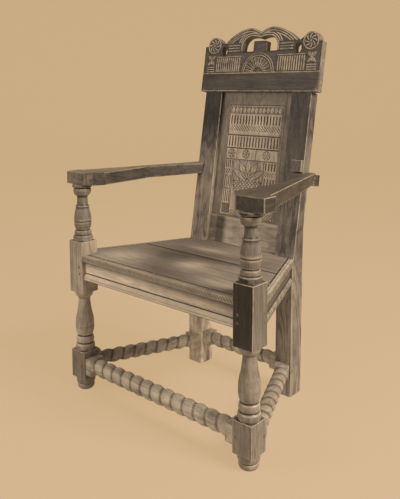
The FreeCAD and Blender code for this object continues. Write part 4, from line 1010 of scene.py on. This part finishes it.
# Square pieces: node, slot, material, width of the worn arris, painted light of the faces, axis of the
# turned parts
SQUARE_PIECES = [
    ("front_post_left", "frame_oak", left_post_finish, 1.6, left_post_painted_light, left_axis),
    ("front_post_right", "frame_oak", right_post_finish, 1.6, right_post_painted_light, right_axis),
    ("rear_stile_left", "frame_oak", left_stile_oak_and_painted_shade, 1.6, left_stile_painted_light, None),
    ("rear_stile_right", "frame_oak", right_stile_oak_and_painted_shade, 1.6, right_stile_painted_light, None),
    ("rear_seat_rail", "frame_oak", hidden_rail_finish, 1.2, None, None),
    ("lower_back_rail", "frame_oak", lower_back_oak_and_painted_shadow, 1.2, None, None),
    ("back_batten", "frame_oak", batten_finish, 2.0, batten_painted_shade, None),
    ("arm_cleat_right", "frame_oak", cleat_finish, 1.6, None, None),
    ("arm_left", "arm_oak", arm_finish, 2.6, left_arm_painted_light, None),
    ("arm_right", "arm_oak", arm_finish, 2.6, right_arm_painted_shade, None),
]
PEG_FINISHES = {
    "arm_pegs": peg_finish, "back_rail_pegs": panel_peg_finish, "batten_pegs": panel_peg_finish,
    "cleat_pegs": peg_finish, "crest_pegs": dark_peg_finish, "seat_board_pegs": panel_peg_finish,
    "seat_rail_pegs": peg_finish, "stretcher_pegs": peg_finish,
}
PEG_ARRIS, PEG_SHORTEST, PEG_STEPS = 0.6 * MM, 1 * MM, 2
RAILS = [
    ("front_seat_rail", (0, -1, 0), front_rail_oak_and_painted_light),
    ("side_seat_rail_left", (-1, 0, 0), side_rail_oak_and_painted_shade),
    ("side_seat_rail_right", (1, 0, 0), side_rail_oak_and_painted_shade),
]
# Rope-turned pieces: node, two points on the axis, radius, material
ROPES = [
    ("front_stretcher", (-1, post_y, STRETCHER_HEIGHT), (1, post_y, STRETCHER_HEIGHT),
     FRONT_ROPE_RADIUS, stretcher_across),
    ("rear_stretcher", (-1, rear_y, REAR_STRETCHER_HEIGHT), (1, rear_y, REAR_STRETCHER_HEIGHT),
     SIDE_ROPE_RADIUS, stretcher_across),
    ("side_stretcher_left", (left_post_x, post_back, STRETCHER_HEIGHT),
     (-LEG_MIDDLE, leg_front, STRETCHER_HEIGHT), SIDE_ROPE_RADIUS, stretcher_left),
    ("side_stretcher_right", (right_post_x, post_back, STRETCHER_HEIGHT),
     (LEG_MIDDLE, leg_front, STRETCHER_HEIGHT), SIDE_ROPE_RADIUS, stretcher_right),
]
# Size of the even mesh and the share of its faces kept, for fine carving, boards and rails
CARVING_VOXEL, BOARD_VOXEL = 1.1, 1.8
CARVING_KEPT, BOARD_KEPT, RAIL_KEPT = 0.6, 0.4, 0.35

for node, slot, material, width, painted_light_and_patina, axis in SQUARE_PIECES:
    placed(softened(node, width * MM, painted_light_and_patina=painted_light_and_patina, turned_about=axis), node, material)

for node, material in PEG_FINISHES.items():
    placed(softened(node, PEG_ARRIS, PEG_SHORTEST, PEG_STEPS), node, material)

for node, way, material in RAILS:
    rail = carved(node, outer_face(node, way), BOARD_VOXEL, rail_relief, rail_wear_and_shade, RAIL_KEPT)
    placed(rail, node, material)

crest = Crest()
placed(carved("crest_rail", TO_BACK, CARVING_VOXEL, crest.relief, crest.wear_and_shade, CARVING_KEPT, crest.painted_light_and_patina),
       "crest_rail", crest_finish)
placed(carved("back_panel", TO_BACK, CARVING_VOXEL, panel_relief, panel_wear_and_shade, CARVING_KEPT, panel_lift_and_margin_shadow),
       "back_panel", panel_finish)

boards = SeatBoards()
for node in ("seat_board_front", "seat_board_rear"):
    board = carved(node, LEVEL, BOARD_VOXEL, boards.relief, boards.wear_and_shade, BOARD_KEPT, boards.painted_light_and_patina)
    placed(board, node, seat_finish)

for node, start, end, radius, material in ROPES:
    placed(smoothed(node, rope_wear_and_shade(start, end, radius)), node, material)


# Floor, light and camera
PLAIN_SHARE = 0.88
FLOOR_REACH, FLOOR_BEND, WALL_HEIGHT, BEND_STEPS = 9.0, 3.0, 6.0, 24
CHAIR_MIDDLE = (0, 0, 0.5)
# Lamps: name, place, width, power and colour
LAMPS = (
    ("key", (2.6, 0.1, 2.2), 1.2, 160, (1, 1, 1)),
    ("fill", (-1.2, -2.6, 1.9), 1.8, 43, (0.97, 0.985, 1)),
)
SKY_COLOUR, SKY_STRENGTH = (0.95, 0.98, 1, 1), 0.38
PLAIN_RAYS = ("Is Camera Ray", "Is Glossy Ray", "Is Transmission Ray")


def plain_to_camera(graph, colour, share):
    """Show the backdrop in part as its plain colour, in direct view and in reflections."""
    tree = graph.tree
    path = tree.nodes.new("ShaderNodeLightPath")
    seen = path.outputs[PLAIN_RAYS[0]]
    for ray in PLAIN_RAYS[1:]:
        seen = graph.sum("MAXIMUM", seen, path.outputs[ray])
    plain = tree.nodes.new("ShaderNodeEmission")
    plain.inputs["Color"].default_value = colour
    mixed = tree.nodes.new("ShaderNodeMixShader")
    graph.join(graph.sum("MULTIPLY", seen, share), mixed.inputs[0])
    graph.join(graph.shader.outputs[0], mixed.inputs[1])
    graph.join(plain.outputs[0], mixed.inputs[2])
    graph.join(mixed.outputs[0], graph.output.inputs["Surface"])


def backdrop():
    """A floor that sweeps up into a wall behind the chair."""
    graph = Graph("plain_backdrop")
    soft = graph.noise(graph.place, 3, 3, 0.5)
    colour = graph.mix(graph.ramp(soft, 0.3, 0.7, 0, 0.06), FLOOR_COLOUR, OAK_LIGHT)
    graph.join(colour, graph.shader.inputs["Base Color"])
    graph.shader.inputs["Roughness"].default_value = 0.9
    graph.shader.inputs["Specular IOR Level"].default_value = 0.1
    plain_to_camera(graph, PAPER_COLOUR, PLAIN_SHARE)
    bend_start = FLOOR_REACH - FLOOR_BEND
    profile = [(-FLOOR_REACH, 0.0), (bend_start, 0.0)]
    for index in range(1, BEND_STEPS + 1):
        angle = index / BEND_STEPS * math.pi / 2
        along, up = FLOOR_BEND * math.sin(angle), FLOOR_BEND - FLOOR_BEND * math.cos(angle)
        profile.append((bend_start + along, up))
    profile.append((FLOOR_REACH, WALL_HEIGHT))
    turn = Matrix.Rotation(math.radians(CAMERA_TURN), 4, "Z")
    shape = bmesh.new()
    rows = []
    for along, up in profile:
        ends = (-FLOOR_REACH * 2, FLOOR_REACH * 2)
        rows.append([shape.verts.new(turn @ Vector((x, along, up))) for x in ends])
    for first, second in zip(rows, rows[1:]):
        face = shape.faces.new((first[0], first[1], second[1], second[0]))
        face.smooth = True
    mesh = bpy.data.meshes.new("backdrop")
    shape.to_mesh(mesh)
    shape.free()
    mesh.materials.append(graph.material)
    piece = bpy.data.objects.new("backdrop", mesh)
    bpy.context.scene.collection.objects.link(piece)


def lamp(name, place, width, power, colour):
    """A round soft lamp that looks at the middle of the chair."""
    light = bpy.data.lights.new(name, "AREA")
    light.shape = "DISK"
    light.size = width
    light.energy = power
    light.color = colour
    piece = bpy.data.objects.new(name, light)
    piece.location = place
    piece.rotation_euler = (Vector(CHAIR_MIDDLE) - Vector(place)).to_track_quat("-Z", "Y").to_euler()
    bpy.context.scene.collection.objects.link(piece)


def studio_world(light, strength, colour):
    """Even light from all around, seen directly and in reflections as the plain paper colour."""
    world = bpy.data.worlds.new("studio")
    bpy.context.scene.world = world
    world.use_nodes = True
    tree = world.node_tree
    around = tree.nodes["Background"]
    around.inputs["Color"].default_value = light
    around.inputs["Strength"].default_value = strength
    plain = tree.nodes.new("ShaderNodeBackground")
    plain.inputs["Color"].default_value = colour
    path = tree.nodes.new("ShaderNodeLightPath")
    source = around.outputs[0]
    for ray in PLAIN_RAYS:
        mixed = tree.nodes.new("ShaderNodeMixShader")
        tree.links.new(path.outputs[ray], mixed.inputs[0])
        tree.links.new(source, mixed.inputs[1])
        tree.links.new(plain.outputs[0], mixed.inputs[2])
        source = mixed.outputs[0]
    tree.links.new(source, tree.nodes["World Output"].inputs["Surface"])


def camera_at_photo():
    """The photograph's camera, with only the shift that its framing needs."""
    data = bpy.data.cameras.new("camera")
    data.lens = CAMERA_FOCAL_PIXELS / PICTURE_HEIGHT * SENSOR
    data.sensor_width = SENSOR
    data.sensor_fit = "AUTO"
    data.shift_y = CAMERA_SHIFT
    camera = bpy.data.objects.new("camera", data)
    camera.location = CAMERA_PLACE
    camera.rotation_euler = (math.radians(90 - CAMERA_DIP), 0, math.radians(CAMERA_TURN))
    bpy.context.scene.collection.objects.link(camera)
    return camera


backdrop()
for name, place, width, power, colour in LAMPS:
    lamp(name, place, width, power, colour)
studio_world(SKY_COLOUR, SKY_STRENGTH, PAPER_COLOUR)
bpy.context.scene.camera = camera_at_photo()

bpy.context.scene.view_settings.view_transform = "Standard"
